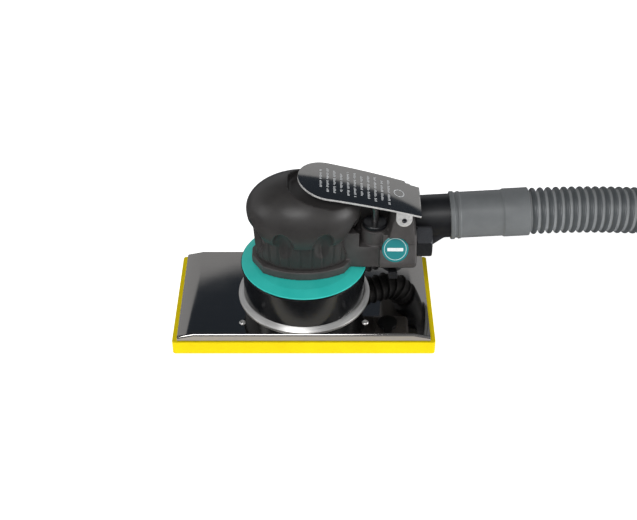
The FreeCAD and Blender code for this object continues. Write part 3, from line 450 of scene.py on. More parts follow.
bag_end = Vector(HOSE_ROUTE[-1])
bag_axis = (bag_end - Vector(HOSE_ROUTE[-2])).normalized()
BAG_LONG = 45 * mm
bag_profile = [
    (CUFF_BORE, 0), (BEAD_R, 0), (BEAD_R, 15 * mm), (CUFF_R, 16.2 * mm), (CUFF_R, 36 * mm),
    (BEAD_R, 37 * mm), (BEAD_R, 39 * mm),
    (CUFF_R, 40 * mm), (CUFF_R, 41 * mm), (BEAD_R, 42 * mm), (BEAD_R, BAG_LONG), (14.5 * mm, BAG_LONG),
    (14.5 * mm, 2 * mm), (CUFF_BORE, 2 * mm),
]
bag_connector = lathe("bag_connector_moulded", rounded(bag_profile, 0.5 * mm), bag_end, bag_axis, pvc)
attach(bag_connector, "housing")
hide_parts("bag_connector")


# ==================================================================== foam pad
# Sanding pad of moulded yellow polyurethane foam, 9 mm thick, cut through by eight dust holes,
# with a hook facing bonded underneath that holds the abrasive sheet.
FOAM_EDGE = 0.7 * mm
CELL = 0.9 * mm             # foam cells, drawn a little coarse so that they show


def from_cad(node, name, material, soften=0.0, flat_angle=1.0):
    """New piece on a copy of a CAD node's mesh, welded, with its edges rounded off."""
    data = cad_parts[node].data.copy()
    data.name = name
    data.materials.clear()
    data.materials.append(material)
    obj = link_in(bpy.data.objects.new(name, data))
    bm = bmesh.new()
    bm.from_mesh(data)
    bmesh.ops.remove_doubles(bm, verts=bm.verts, dist=0.004 * mm)
    bmesh.ops.dissolve_limit(bm, angle_limit=math.radians(flat_angle), verts=bm.verts, edges=bm.edges)
    bmesh.ops.recalc_face_normals(bm, faces=bm.faces)
    for face in bm.faces:
        face.smooth = True
        face.material_index = 0
    bm.to_mesh(data)
    bm.free()
    if soften:
        bevel = obj.modifiers.new("edges", "BEVEL")
        bevel.width = soften
        bevel.segments = 3
        bevel.limit_method = "ANGLE"
        bevel.angle_limit = math.radians(28)
        bevel.use_clamp_overlap = True
        weights = obj.modifiers.new("normals", "WEIGHTED_NORMAL")
        weights.keep_sharp = True
    settle(obj)
    return obj


def settle(obj):
    """Applies the modifiers, so that the mesh is final."""
    if not obj.modifiers:
        return obj
    scene_now = bpy.context.evaluated_depsgraph_get()
    final = bpy.data.meshes.new_from_object(obj.evaluated_get(scene_now))
    final.name = obj.name
    obj.modifiers.clear()
    obj.data = final
    return obj


def joined(name, *objs):
    """One object from the faces of several, which are used up."""
    bm = bmesh.new()
    for obj in objs:
        bm.from_mesh(obj.data)
    data = bpy.data.meshes.new(name)
    bm.to_mesh(data)
    bm.free()
    for material in objs[0].data.materials:
        data.materials.append(material)
    made = link_in(bpy.data.objects.new(name, data))
    for obj in objs:
        bpy.data.objects.remove(obj)
    return made


# Moulded foam: matt yellow skin, slightly patchy, with fine open cells.
foam_stuff, tree, shader = finish_of(
    "yellow_polyurethane_foam", {"Roughness": 0.85, "IOR": 1.45, "Specular IOR Level": 0.2})
where = add(tree, "ShaderNodeTexCoord").outputs["Object"]
cells = add(tree, "ShaderNodeTexVoronoi", {"Scale": 1 / CELL}, {"Vector": where}).outputs["Distance"]
patches = add(
    tree, "ShaderNodeTexNoise", {"Scale": 1 / (22 * mm), "Detail": 4}, {"Vector": where}).outputs["Fac"]
yellow = add(
    tree, "ShaderNodeValToRGB", links={"Fac": patches},
    stops=[(0.3, "#e9cf02"), (0.7, "#f0d806")]).outputs["Color"]
pits = add(
    tree, "ShaderNodeValToRGB", links={"Fac": cells},
    stops=[(0.0, "#c9a400"), (0.35, "#ffffff")]).outputs["Color"]
pitted = add(
    tree, "ShaderNodeMixRGB", {"Fac": 0.35}, {"Color1": yellow, "Color2": pits},
    blend_type="MULTIPLY").outputs["Color"]
bump = add(tree, "ShaderNodeBump", {"Strength": 0.5, "Distance": 0.15 * mm}, {"Height": cells})
tree.links.new(pitted, shader.inputs["Base Color"])
tree.links.new(bump.outputs["Normal"], shader.inputs["Normal"])
foam = from_cad("foam_pad", "foam_pad_moulded", foam_stuff, FOAM_EDGE)
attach(foam, "pad")
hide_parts("foam_pad")

# Hook facing: nylon hooks standing close together, which look like a dull velvety weave.
HOOK_STEP = 1.2 * mm
hooks, tree, shader = finish_of(
    "nylon_hook_tape", {"Roughness": 0.75, "Sheen Weight": 0.4, "Sheen Roughness": 0.5})
where = add(tree, "ShaderNodeTexCoord").outputs["Object"]
rows = add(
    tree, "ShaderNodeTexWave", {"Scale": 1 / (HOOK_STEP * math.tau), "Distortion": 0.4},
    {"Vector": where}).outputs["Fac"]
tufts = add(tree, "ShaderNodeTexVoronoi", {"Scale": 1 / HOOK_STEP}, {"Vector": where}).outputs["Distance"]
nap = add(tree, "ShaderNodeMath", {}, {0: rows, 1: tufts}, operation="ADD").outputs[0]
nap_colour = add(
    tree, "ShaderNodeValToRGB", links={"Fac": tufts},
    stops=[(0.0, "#f6dc1c"), (0.8, "#cfae06")]).outputs["Color"]
bump = add(tree, "ShaderNodeBump", {"Strength": 0.6, "Distance": 0.25 * mm}, {"Height": nap})
tree.links.new(nap_colour, shader.inputs["Base Color"])
tree.links.new(bump.outputs["Normal"], shader.inputs["Normal"])
facing = from_cad("hook_facing", "hook_facing_tape", hooks, 0.2 * mm)
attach(facing, "pad")
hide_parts("hook_facing")


# ==================================================================== steel pan
# Backing plate folded from 1.5 mm stainless sheet and polished: a flat top, two sloped ends and
# upright flanges. A spun steel collar and two pairs of socket screws sit on it.
FOLD_ROUND = 0.45 * mm

# Polished stainless sheet: mirror-like with faint fine polishing lines along its length.
stainless, tree, shader = finish_of("polished_stainless", {"Metallic": 1.0, "Roughness": 0.1})
where = add(tree, "ShaderNodeTexCoord").outputs["Object"]
stretched = add(
    tree, "ShaderNodeMapping", {"Scale": (0.03, 1.0, 1.0)}, {"Vector": where}).outputs["Vector"]
lines = add(
    tree, "ShaderNodeTexNoise", {"Scale": 1 / (0.5 * mm), "Detail": 4, "Roughness": 0.7},
    {"Vector": stretched}).outputs["Fac"]
smears = add(
    tree, "ShaderNodeTexNoise", {"Scale": 1 / (30 * mm), "Detail": 5, "Roughness": 0.6},
    {"Vector": where}).outputs["Fac"]
steel_tone = add(
    tree, "ShaderNodeValToRGB", links={"Fac": lines},
    stops=[(0.25, "#aaa7a4"), (0.75, "#b4b1ad")]).outputs["Color"]
polish = add(
    tree, "ShaderNodeMapRange", {"From Min": 0.35, "From Max": 0.7, "To Min": 0.03, "To Max": 0.06},
    {"Value": smears})
bump = add(tree, "ShaderNodeBump", {"Strength": 0.06, "Distance": 0.02 * mm}, {"Height": lines})
tree.links.new(steel_tone, shader.inputs["Base Color"])
tree.links.new(polish.outputs["Result"], shader.inputs["Roughness"])
tree.links.new(bump.outputs["Normal"], shader.inputs["Normal"])
pan = from_cad("backing_plate", "backing_plate_folded", stainless, FOLD_ROUND)
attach(pan, "pad")
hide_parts("backing_plate")

# Turned steel: bright, with fine rings left by the tool.
turned, tree, shader = finish_of("turned_steel", {"Metallic": 1.0, "Roughness": 0.28})
where = add(tree, "ShaderNodeTexCoord").outputs["Object"]
flat_rings = add(
    tree, "ShaderNodeMapping", {"Scale": (0.02, 0.02, 1.0)}, {"Vector": where}).outputs["Vector"]
tooling = add(
    tree, "ShaderNodeTexNoise", {"Scale": 1 / (0.25 * mm), "Detail": 3},
    {"Vector": flat_rings}).outputs["Fac"]
turned_tone = add(
    tree, "ShaderNodeValToRGB", links={"Fac": tooling},
    stops=[(0.3, "#b9b8b6"), (0.7, "#d2d1cf")]).outputs["Color"]
spread = add(
    tree, "ShaderNodeMapRange", {"From Min": 0.3, "From Max": 0.7, "To Min": 0.32, "To Max": 0.46},
    {"Value": tooling})
bump = add(tree, "ShaderNodeBump", {"Strength": 0.2, "Distance": 0.02 * mm}, {"Height": tooling})
tree.links.new(turned_tone, shader.inputs["Base Color"])
tree.links.new(spread.outputs["Result"], shader.inputs["Roughness"])
tree.links.new(bump.outputs["Normal"], shader.inputs["Normal"])

collar_low, collar_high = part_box("collar")
collar_mid = (collar_low + collar_high) / 2
COLLAR_SHEET = 1.4 * mm
COLLAR_FLARE = 3.4 * mm
foot_r = (collar_high.x - collar_low.x) / 2 + 1.2 * mm
collar_h = collar_high.z - collar_low.z
collar_profile = [
    (foot_r - COLLAR_SHEET, 0), (foot_r, 0), (foot_r - 0.1 * mm, 0.9 * mm),
    (foot_r - COLLAR_FLARE, collar_h, 0.6 * mm),
    (foot_r - COLLAR_FLARE - COLLAR_SHEET, collar_h, 0.6 * mm),
]
collar = lathe(
    "collar_spun", rounded(collar_profile, 0.25 * mm), (collar_mid.x, collar_mid.y, collar_low.z),
    (0, 0, 1), turned, sides=192)
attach(collar, "pad")
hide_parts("collar")

# Button-head screws, a little sunk, each with a round socket.
HEAD_R = 2.2 * mm
HEAD_H = 1.0 * mm
screws_low, screws_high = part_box("pad_screws")
CAD_HEAD_R = 3.0 * mm
head_profile = [
    (0.01 * mm, 0.4 * mm), (1.0 * mm, 0.4 * mm), (1.2 * mm, HEAD_H), (HEAD_R - 0.6 * mm, HEAD_H),
    (HEAD_R, 0.3 * mm),
    (HEAD_R, -0.3 * mm), (0.01 * mm, -0.3 * mm),
]
heads = []
for x in (screws_low.x + CAD_HEAD_R, screws_high.x - CAD_HEAD_R):
    for y in (screws_low.y + CAD_HEAD_R, screws_high.y - CAD_HEAD_R):
        seat = (x, y, collar_low.z)
        heads.append(lathe("head", rounded(head_profile, 0.2 * mm), seat, (0, 0, 1), turned, sides=48))
screws = joined("pad_screw_heads", *heads)
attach(screws, "pad")
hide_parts("pad_screws")


# ==================================================================== skirt and clamp ring
# Shaft shroud: a gloss black thermoplastic drum under the housing. A coloured ring clamps its
# rim; the ring is moulded with a slope to its thin outer edge.
skirt_low, skirt_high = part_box("skirt")
ring_low, ring_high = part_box("clamp_ring")
ring_r = ring_high.y
SKIRT_R = ring_r - 0.8 * mm
SKIRT_WALL = 1.6 * mm

# Gloss black ABS: deep black with a clear lacquer-like surface, faintly waved.
abs_gloss, tree, shader = finish_of("gloss_black_abs", {"Roughness": 0.28, "IOR": 1.5})
where = add(tree, "ShaderNodeTexCoord").outputs["Object"]
waves = add(
    tree, "ShaderNodeTexNoise", {"Scale": 1 / (12 * mm), "Detail": 2}, {"Vector": where}).outputs["Fac"]
haze = add(
    tree, "ShaderNodeTexNoise", {"Scale": 1 / (9 * mm), "Detail": 3, "Roughness": 0.5},
    {"Vector": where}).outputs["Fac"]
hazed = add(
    tree, "ShaderNodeMapRange", {"From Min": 0.35, "From Max": 0.7, "To Min": 0.17, "To Max": 0.23},
    {"Value": haze})
black = add(
    tree, "ShaderNodeValToRGB", links={"Fac": haze},
    stops=[(0.3, "#0b0c0e"), (0.7, "#111214")]).outputs["Color"]
bump = add(tree, "ShaderNodeBump", {"Strength": 0.1, "Distance": 0.1 * mm}, {"Height": waves})
tree.links.new(black, shader.inputs["Base Color"])
tree.links.new(hazed.outputs["Result"], shader.inputs["Roughness"])
tree.links.new(bump.outputs["Normal"], shader.inputs["Normal"])

skirt_h = skirt_high.z - skirt_low.z
RIM_H = 1.6 * mm
RIM_R = ring_r + 0.5 * mm
skirt_profile = [
    (SKIRT_R - SKIRT_WALL, 0), (SKIRT_R, 0), (SKIRT_R, skirt_h - RIM_H),
    (RIM_R, skirt_h - RIM_H + 0.4 * mm),
    (RIM_R, skirt_h, 0.1 * mm), (18 * mm, skirt_h, 0.1 * mm), (18 * mm, skirt_h - SKIRT_WALL, 0.1 * mm),
    (SKIRT_R - SKIRT_WALL, skirt_h - SKIRT_WALL),
]
skirt = lathe(
    "skirt_drum", rounded(skirt_profile, 0.3 * mm), (0, 0, skirt_low.z), (0, 0, 1), abs_gloss, sides=192)
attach(skirt, "housing")
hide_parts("skirt")

# Moulded PBT ring: one clear sea green, satin, with a very fine spark-eroded grain.
pbt, tree, shader = finish_of("sea_green_pbt", {"Roughness": 0.38, "IOR": 1.5, "Specular IOR Level": 0.4})
where = add(tree, "ShaderNodeTexCoord").outputs["Object"]
flow = add(
    tree, "ShaderNodeTexNoise", {"Scale": 1 / (14 * mm), "Detail": 4}, {"Vector": where}).outputs["Fac"]
green = add(
    tree, "ShaderNodeValToRGB", links={"Fac": flow},
    stops=[(0.3, "#30c8bc"), (0.7, "#3cd0c4")]).outputs["Color"]
spark = add(
    tree, "ShaderNodeTexNoise", {"Scale": 1 / (0.4 * mm), "Detail": 2}, {"Vector": where}).outputs["Fac"]
bump = add(tree, "ShaderNodeBump", {"Strength": 0.2, "Distance": 0.03 * mm}, {"Height": spark})
tree.links.new(green, shader.inputs["Base Color"])
tree.links.new(bump.outputs["Normal"], shader.inputs["Normal"])
RING_SLOPE_TO = 34 * mm
ring_h = ring_high.z - ring_low.z
ring_profile = [
    (18 * mm, 0, 0.05 * mm), (ring_r, 0, 0.15 * mm), (ring_r, 0.8 * mm, 0.35 * mm),
    (RING_SLOPE_TO, ring_h, 2 * mm), (18 * mm, ring_h, 0.05 * mm),
]
ring = lathe(
    "clamp_ring_moulded", rounded(ring_profile, 0.3 * mm), (0, 0, ring_low.z), (0, 0, 1), pbt, sides=192)
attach(ring, "housing")
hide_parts("clamp_ring")


# ==================================================================== motor housing
# Glass-filled nylon housing in one moulding: the flat foot on the ring, the oval motor core, the
# valve block with its boss, the hinge lug and the outlet manifold. Every edge is radiused.
HOUSING_VOXEL = 0.5 * mm
HOUSING_SMOOTH = 5


def remoulded(obj, voxel, rounds, factor=0.5):
    """Fuses the piece into one skin of even small faces and relaxes it, which rounds its edges."""
    skin = obj.modifiers.new("skin", "REMESH")
    skin.mode = "VOXEL"
    skin.voxel_size = voxel
    skin.use_smooth_shade = True
    relax = obj.modifiers.new("relax", "SMOOTH")
    relax.factor = factor
    relax.iterations = rounds
    return settle(obj)


def carved(obj, cutters):
    """Cuts the cutters out of a piece and uses them up."""
    for cutter in cutters:
        cut = obj.modifiers.new("cut", "BOOLEAN")
        cut.operation = "DIFFERENCE"
        cut.solver = "EXACT"
        cut.object = cutter
    settle(obj)
    for cutter in cutters:
        bpy.data.objects.remove(cutter)
    return obj


def egg(name, place, wide, tall):
    """Closed egg-shaped cutter."""
    bm = bmesh.new()
    bmesh.ops.create_uvsphere(bm, u_segments=48, v_segments=24, radius=1.0)
    data = bpy.data.meshes.new(name)
    bm.to_mesh(data)
    bm.free()
    data.transform(Matrix.Translation(place) @ Matrix.Diagonal((wide, wide, tall, 1)))
    return link_in(bpy.data.objects.new(name, data))


def box_piece(name, low, high):
    bm = bmesh.new()
    bmesh.ops.create_cube(bm, size=1.0)
    data = bpy.data.meshes.new(name)
    bm.to_mesh(data)
    bm.free()
    size = [h - l for l, h in zip(low, high)]
    middle = [(h + l) / 2 for l, h in zip(low, high)]
    data.transform(Matrix.Translation(middle) @ Matrix.Diagonal((*size, 1)))
    return link_in(bpy.data.objects.new(name, data))


# Glass-filled nylon: dark warm grey, matt, with a fine spark-eroded grain.
nylon, tree, shader = finish_of(
    "glass_filled_nylon", {"Roughness": 0.5, "IOR": 1.53, "Specular IOR Level": 0.5})
where = add(tree, "ShaderNodeTexCoord").outputs["Object"]
mottle = add(
    tree, "ShaderNodeTexNoise", {"Scale": 1 / (7 * mm), "Detail": 5, "Roughness": 0.6},
    {"Vector": where}).outputs["Fac"]
nylon_tone = add(
    tree, "ShaderNodeValToRGB", links={"Fac": mottle},
    stops=[(0.3, "#403d3c"), (0.7, "#4b4847")]).outputs["Color"]
dull = add(
    tree, "ShaderNodeMapRange", {"From Min": 0.3, "From Max": 0.7, "To Min": 0.42, "To Max": 0.56},
    {"Value": mottle})
grain = add(
    tree, "ShaderNodeTexNoise", {"Scale": 1 / (0.6 * mm), "Detail": 2}, {"Vector": where}).outputs["Fac"]
bump = add(tree, "ShaderNodeBump", {"Strength": 0.3, "Distance": 0.06 * mm}, {"Height": grain})
tree.links.new(nylon_tone, shader.inputs["Base Color"])
tree.links.new(dull.outputs["Result"], shader.inputs["Roughness"])
tree.links.new(bump.outputs["Normal"], shader.inputs["Normal"])

# The valve boss stands round and free above the block: the web beside it is cut back, and a rib
# behind it ties the hinge lug to the motor core.
cap_low, cap_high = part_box("valve_cap")
valve_x = (cap_low.x + cap_high.x) / 2
cut_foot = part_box("motor_housing")[0].z + 19 * mm
around_boss = [(9.2 * mm, 0), (14.5 * mm, 0), (14.5 * mm, 14 * mm), (9.2 * mm, 14 * mm)]
collar_cut = lathe("collar_cut", around_boss, (valve_x, 0, cut_foot), (0, 0, 1), nylon, sides=96)
beyond = box_piece(
    "beyond", (valve_x + 5.0 * mm, -20 * mm, cut_foot - 1 * mm),
    (valve_x + 20 * mm, 20 * mm, cut_foot + 16 * mm))
carved(collar_cut, [beyond])
housing = carved(from_cad("motor_housing", "motor_housing_moulded", nylon), [collar_cut])
rib_low = Vector((33.5 * mm, 9.2 * mm, cut_foot))
rib_high = Vector((60 * mm, 12.6 * mm, cut_foot + 18.5 * mm))
housing = joined("motor_housing_moulded", housing, box_piece("rear_rib", rib_low, rib_high))
remoulded(housing, HOUSING_VOXEL, HOUSING_SMOOTH)
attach(housing, "housing")
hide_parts("motor_housing")


# ==================================================================== palm grip
# Soft-touch rubber cover pushed over the motor core: a palm dome with eight finger hollows
# round its lower edge, a pocket for the lever, and a neck with shallow upright flutes.
GRIP_VOXEL = 0.6 * mm
GRIP_SMOOTH = 2
DOME_X = 37.5 * mm
DOME_Y = 30.0 * mm
DOME_UNDER = 32.0 * mm      # curve radius below the widest level
HOLLOWS = 8
HOLLOW_WIDE = 8.0 * mm
HOLLOW_TALL = 15.0 * mm
HOLLOW_BITE = 4.4 * mm
FLUTE_STEP = 6.5 * mm
FLUTE_DEEP = 0.7 * mm
grip_low, grip_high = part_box("grip_cover")
neck_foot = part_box("motor_housing")[0].z
WIDEST = grip_low.z + 36 * mm
LIP = grip_low.z + 19.5 * mm


def under_dome(z):
    """Share of the widest outline at a height below it."""
    return max(0.0, 1 - ((WIDEST - z) / DOME_UNDER) ** 2) ** 0.5


# Soft-touch rubber: nearly black, velvety, a broad dull sheen and slight handling marks.
rubber, tree, shader = finish_of(
    "soft_touch_rubber", {"Roughness": 0.42, "IOR": 1.5, "Specular IOR Level": 0.45})
where = add(tree, "ShaderNodeTexCoord").outputs["Object"]
handling = add(
    tree, "ShaderNodeTexNoise", {"Scale": 1 / (11 * mm), "Detail": 6, "Roughness": 0.65},
    {"Vector": where}).outputs["Fac"]
rubber_tone = add(
    tree, "ShaderNodeValToRGB", links={"Fac": handling},
    stops=[(0.3, "#2e2c2b"), (0.7, "#353332")]).outputs["Color"]
velvet = add(
    tree, "ShaderNodeMapRange", {"From Min": 0.3, "From Max": 0.7, "To Min": 0.36, "To Max": 0.46},
    {"Value": handling})
grain = add(
    tree, "ShaderNodeTexNoise", {"Scale": 1 / (0.5 * mm), "Detail": 2}, {"Vector": where}).outputs["Fac"]
bump = add(tree, "ShaderNodeBump", {"Strength": 0.25, "Distance": 0.05 * mm}, {"Height": grain})
tree.links.new(rubber_tone, shader.inputs["Base Color"])
tree.links.new(velvet.outputs["Result"], shader.inputs["Roughness"])
tree.links.new(bump.outputs["Normal"], shader.inputs["Normal"])

# The lower dome is filled out to its full oval first; then the hollows are pressed in.
belt_profile = []
for step in range(9):
    z = LIP + (WIDEST - LIP) * step / 8
    belt_profile.append((DOME_X * under_dome(z), z))
belt_profile += [(DOME_X - 12 * mm, WIDEST), (DOME_X - 12 * mm, LIP)]
belt = lathe("belt", belt_profile, (0, 0, 0), (0, 0, 1), rubber, sides=160)
belt.data.transform(Matrix.Diagonal((1, DOME_Y / DOME_X, 1, 1)))
grip = joined("grip_cover_moulded", from_cad("grip_cover", "grip", rubber), belt)
remoulded(grip, GRIP_VOXEL, 1)
cutters = []
lip_share = under_dome(LIP)
for i in range(HOLLOWS):
    a = math.tau * (i + 0.5) / HOLLOWS
    away = HOLLOW_WIDE - HOLLOW_BITE
    x = math.cos(a) * (DOME_X * lip_share + away)
    y = math.sin(a) * (DOME_Y * lip_share + away)
    cutters.append(egg("hollow", Vector((x, y, LIP - 1 * mm)), HOLLOW_WIDE, HOLLOW_TALL))

# Room for the valve boss and for the bridge of the housing that carries it.
BOSS_ROOM_R = 9.6 * mm
BRIDGE_HALF = 10.3 * mm
boss_room = [(0.01 * mm, 0), (BOSS_ROOM_R, 0), (BOSS_ROOM_R, 60 * mm), (0.01 * mm, 60 * mm)]
cutters.append(lathe("boss_room", boss_room, (valve_x, 0, grip_low.z), (0, 0, 1), rubber))
cutters.append(box_piece(
    "bridge_room", (23 * mm, -BRIDGE_HALF, grip_low.z - 1 * mm),
    (60 * mm, BRIDGE_HALF, neck_foot + 30.4 * mm)))
carved(grip, cutters)
remoulded(grip, GRIP_VOXEL, GRIP_SMOOTH)

# Flutes: upright grooves round the neck, a step apart along its oval.
neck_round = math.tau * math.sqrt(((grip_high.x * 0.88) ** 2 + (grip_high.y * 0.76) ** 2) / 2)
flute_count = round(neck_round / FLUTE_STEP)
for vertex in grip.data.vertices:
    x, y, z = vertex.co
    if not grip_low.z + 1 * mm < z < LIP + 1 * mm:
        continue
    around = math.atan2(y / 0.69, x) / math.tau * flute_count
    off = abs(around - round(around)) * FLUTE_STEP
    fade = min(1.0, (z - grip_low.z - 1 * mm) / (2 * mm), (LIP + 1 * mm - z) / (3 * mm))
    deep = FLUTE_DEEP * max(0.0, 1 - (off / (0.9 * mm)) ** 2) * fade
    out = Vector((x, y, 0)).normalized()
    if Vector((x, y)).length > 21 * mm and vertex.normal.dot(out) > 0.3:
        vertex.co = vertex.co - out * deep
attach(grip, "housing")
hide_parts("grip_cover")


# ==================================================================== throttle lever
# Pressed steel sheet, 1.5 mm thick, nickel plated and buffed; arched over the palm with a round
# tip, a slight crown across, two hinge ears and an air-flow scale printed near the hinge.
LEVER_SHEET = 1.5 * mm
LEVER_TIP_HALF = 18.5 * mm
LEVER_END_HALF = 15.0 * mm
LEVER_LEAN = (0.06, 0.125)   # lean towards the badge side, at the tip and at the hinge end
LEAN_LINE = -6 * mm          # line along the lever that keeps its height
LEVER_CROWN = 0.5 * mm      # extra drop of both edges
LEVER_ROUND = 0.55 * mm
lever_low, lever_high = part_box("throttle_lever")
pin_low, pin_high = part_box("lever_pin")
hinge_x = (pin_low.x + pin_high.x) / 2
hinge_z = (pin_low.z + pin_high.z) / 2
lever_base = lever_high.z - 66.2 * mm


def arch_circle(points):
    """Centre and radius of the circle through three points in side view."""
    (x1, z1), (x2, z2), (x3, z3) = points
    d = 2 * (x1 * (z2 - z3) + x2 * (z3 - z1) + x3 * (z1 - z2))
    s1, s2, s3 = x1 * x1 + z1 * z1, x2 * x2 + z2 * z2, x3 * x3 + z3 * z3
    cx = (s1 * (z2 - z3) + s2 * (z3 - z1) + s3 * (z1 - z2)) / d
    cz = (s1 * (x3 - x2) + s2 * (x1 - x3) + s3 * (x2 - x1)) / d
    return cx, cz, math.hypot(x1 - cx, z1 - cz)


arch_x, arch_z, arch_r = arch_circle([
    (lever_low.x, lever_base + 66.2 * mm), (35 * mm, lever_base + 58.0 * mm),
    (lever_high.x, lever_base + 46.4 * mm)])
arch_side = 1 if arch_z < lever_base + 50 * mm else -1


def lever_top(x):
    """Height of the lever's upper face on its middle line."""
    return arch_z + arch_side * math.sqrt(max(0.0, arch_r ** 2 - (x - arch_x) ** 2))


def lever_half(x):
    """Half width of the lever: round tip, then sides closing towards the hinge."""
    middle = lever_low.x + LEVER_TIP_HALF
    if x < middle:
        return math.sqrt(max(0.0, LEVER_TIP_HALF ** 2 - (x - middle) ** 2))
    share = (x - middle) / (lever_high.x - middle)
    return LEVER_TIP_HALF + (LEVER_END_HALF - LEVER_TIP_HALF) * share


def lever_face(x, y):
    """Height of the upper face at a place on the lever."""
    along = (x - lever_low.x) / (lever_high.x - lever_low.x)
    lean = LEVER_LEAN[0] + (LEVER_LEAN[1] - LEVER_LEAN[0]) * along
    return lever_top(x) + lean * (y - LEAN_LINE) - LEVER_CROWN * (y / LEVER_TIP_HALF) ** 2


# Buffed nickel: a soft mirror with very fine buffing lines and handling haze.
nickel, tree, shader = finish_of("buffed_nickel", {"Metallic": 1.0, "Roughness": 0.06})
where = add(tree, "ShaderNodeTexCoord").outputs["Object"]
lengthwise = add(
    tree, "ShaderNodeMapping", {"Scale": (0.03, 1.0, 1.0)}, {"Vector": where}).outputs["Vector"]
buffing = add(
    tree, "ShaderNodeTexNoise", {"Scale": 1 / (0.5 * mm), "Detail": 4, "Roughness": 0.7},
    {"Vector": lengthwise}).outputs["Fac"]
haze = add(
    tree, "ShaderNodeTexNoise", {"Scale": 1 / (18 * mm), "Detail": 5, "Roughness": 0.6},
    {"Vector": where}).outputs["Fac"]
nickel_tone = add(
    tree, "ShaderNodeValToRGB", links={"Fac": buffing},
    stops=[(0.25, "#b3b1ae"), (0.75, "#bdbbb8")]).outputs["Color"]
buffed = add(
    tree, "ShaderNodeMapRange", {"From Min": 0.35, "From Max": 0.7, "To Min": 0.04, "To Max": 0.08},
    {"Value": haze})
bump = add(tree, "ShaderNodeBump", {"Strength": 0.06, "Distance": 0.02 * mm}, {"Height": buffing})
tree.links.new(nickel_tone, shader.inputs["Base Color"])
tree.links.new(buffed.outputs["Result"], shader.inputs["Roughness"])
tree.links.new(bump.outputs["Normal"], shader.inputs["Normal"])

# Pale nickel: the same plating made paler, less metallic and rougher. This is a painted highlight that
# stands in for the bright reflection along the lever's rim and on the ears.
painted_bright_nickel, tree, shader = finish_of("nickel_painted_highlight", {"Metallic": 0.35, "Roughness": 0.3})
where = add(tree, "ShaderNodeTexCoord").outputs["Object"]
highlight_mottle = add(
    tree, "ShaderNodeTexNoise", {"Scale": 1 / (2 * mm), "Detail": 5}, {"Vector": where}).outputs["Fac"]
painted_highlight_tone = add(
    tree, "ShaderNodeValToRGB", links={"Fac": highlight_mottle},
    stops=[(0.3, "#c3c2c0"), (0.7, "#dad9d7")]).outputs["Color"]
tree.links.new(painted_highlight_tone, shader.inputs["Base Color"])

# The sheet is a grid over the plan outline, top and underside, sewn along the rim.
ROWS = 28
NOTCH_FROM = 66.5 * mm      # the far side steps in beside the hinge
NOTCH_SHARE = 0.84
tip_middle = lever_low.x + LEVER_TIP_HALF
stations = [tip_middle - LEVER_TIP_HALF * math.cos(math.pi / 2 * i / 40) for i in range(1, 41)]
stations += [tip_middle + (lever_high.x - tip_middle) * i / 50 for i in range(1, 51)]
verts, faces = [], []
for x in stations:
    half = lever_half(x)
    for k in range(ROWS + 1):
        across = -1 + 2 * k / ROWS
        across = math.sin(across * math.pi / 2) * 0.35 + across * 0.65
        y = across * half
        if y > 0 and x > NOTCH_FROM:
            y *= NOTCH_SHARE
        verts.append((x, y, lever_face(x, y)))
for i in range(len(stations) - 1):
    for k in range(ROWS):
        a = i * (ROWS + 1) + k
        faces.append((a, a + ROWS + 1, a + ROWS + 2, a + 1))
tip = len(verts)
verts.append((lever_low.x, 0, lever_top(lever_low.x)))
for k in range(ROWS):
    faces.append((tip, k, k + 1))
lever = mesh_piece("throttle_lever_pressed", verts, faces, nickel)
sheet = lever.modifiers.new("sheet", "SOLIDIFY")
sheet.thickness = LEVER_SHEET
sheet.offset = -1
edge = lever.modifiers.new("edge", "BEVEL")
edge.width = LEVER_ROUND
edge.segments = 3
edge.limit_method = "ANGLE"
edge.angle_limit = math.radians(50)
settle(lever)
facing_out(lever)
# Upright rim faces of the sheet take the pale nickel: a painted highlight in place of their bright
# reflection.
lever.data.materials.append(painted_bright_nickel)
for polygon in lever.data.polygons:
    if abs(polygon.normal.z) < 0.8:
        polygon.material_index = 1

# Ears: tabs folded down at the hinge round the pin, left solid without a pin hole.
EAR_INNER = 14.0 * mm
EAR_OUTER = 15.45 * mm
EAR_REACH = 5.0 * mm
ears = []
for side in (-1, 1):
    outline = []
    for step in range(21):
        a = math.pi + math.pi * step / 20
        outline.append((hinge_x + EAR_REACH * math.cos(a), hinge_z + EAR_REACH * math.sin(a)))
    for x in (hinge_x + EAR_REACH, hinge_x - EAR_REACH):
        outline.append((x, lever_face(x, side * EAR_OUTER) - 1.0 * mm))
    inner = [(x, side * EAR_INNER, z) for x, z in outline]
    outer = [(x, side * EAR_OUTER, z) for x, z in outline]
    count = len(outline)
    sides_of = [(i, (i + 1) % count, count + (i + 1) % count, count + i) for i in range(count)]
    # The ears are all pale nickel: a painted highlight in place of their bright reflection.
    ear = mesh_piece(
        "lever_ear_%s" % ("near" if side < 0 else "far"), inner + outer,
        [tuple(range(count)), tuple(range(count, 2 * count))] + sides_of, painted_bright_nickel)
    fold = ear.modifiers.new("fold", "BEVEL")
    fold.width = 0.3 * mm
    fold.segments = 2
    fold.limit_method = "ANGLE"
    fold.angle_limit = math.radians(50)
    settle(ear)
    facing_out(ear)
    ears.append(ear)
for ear in ears:
    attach(ear, "lever")
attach(lever, "lever")
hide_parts("throttle_lever")

# Scale: eleven short rows of printed bars and a small ring, in pale ink on the nickel.
INK_LIFT = 0.03 * mm
SCALE_ROWS = 11
SCALE_FROM = 10.5 * mm
SCALE_STEP = 4.4 * mm
SCALE_TALL = 1.5 * mm
CELL_STEP = 1.15 * mm
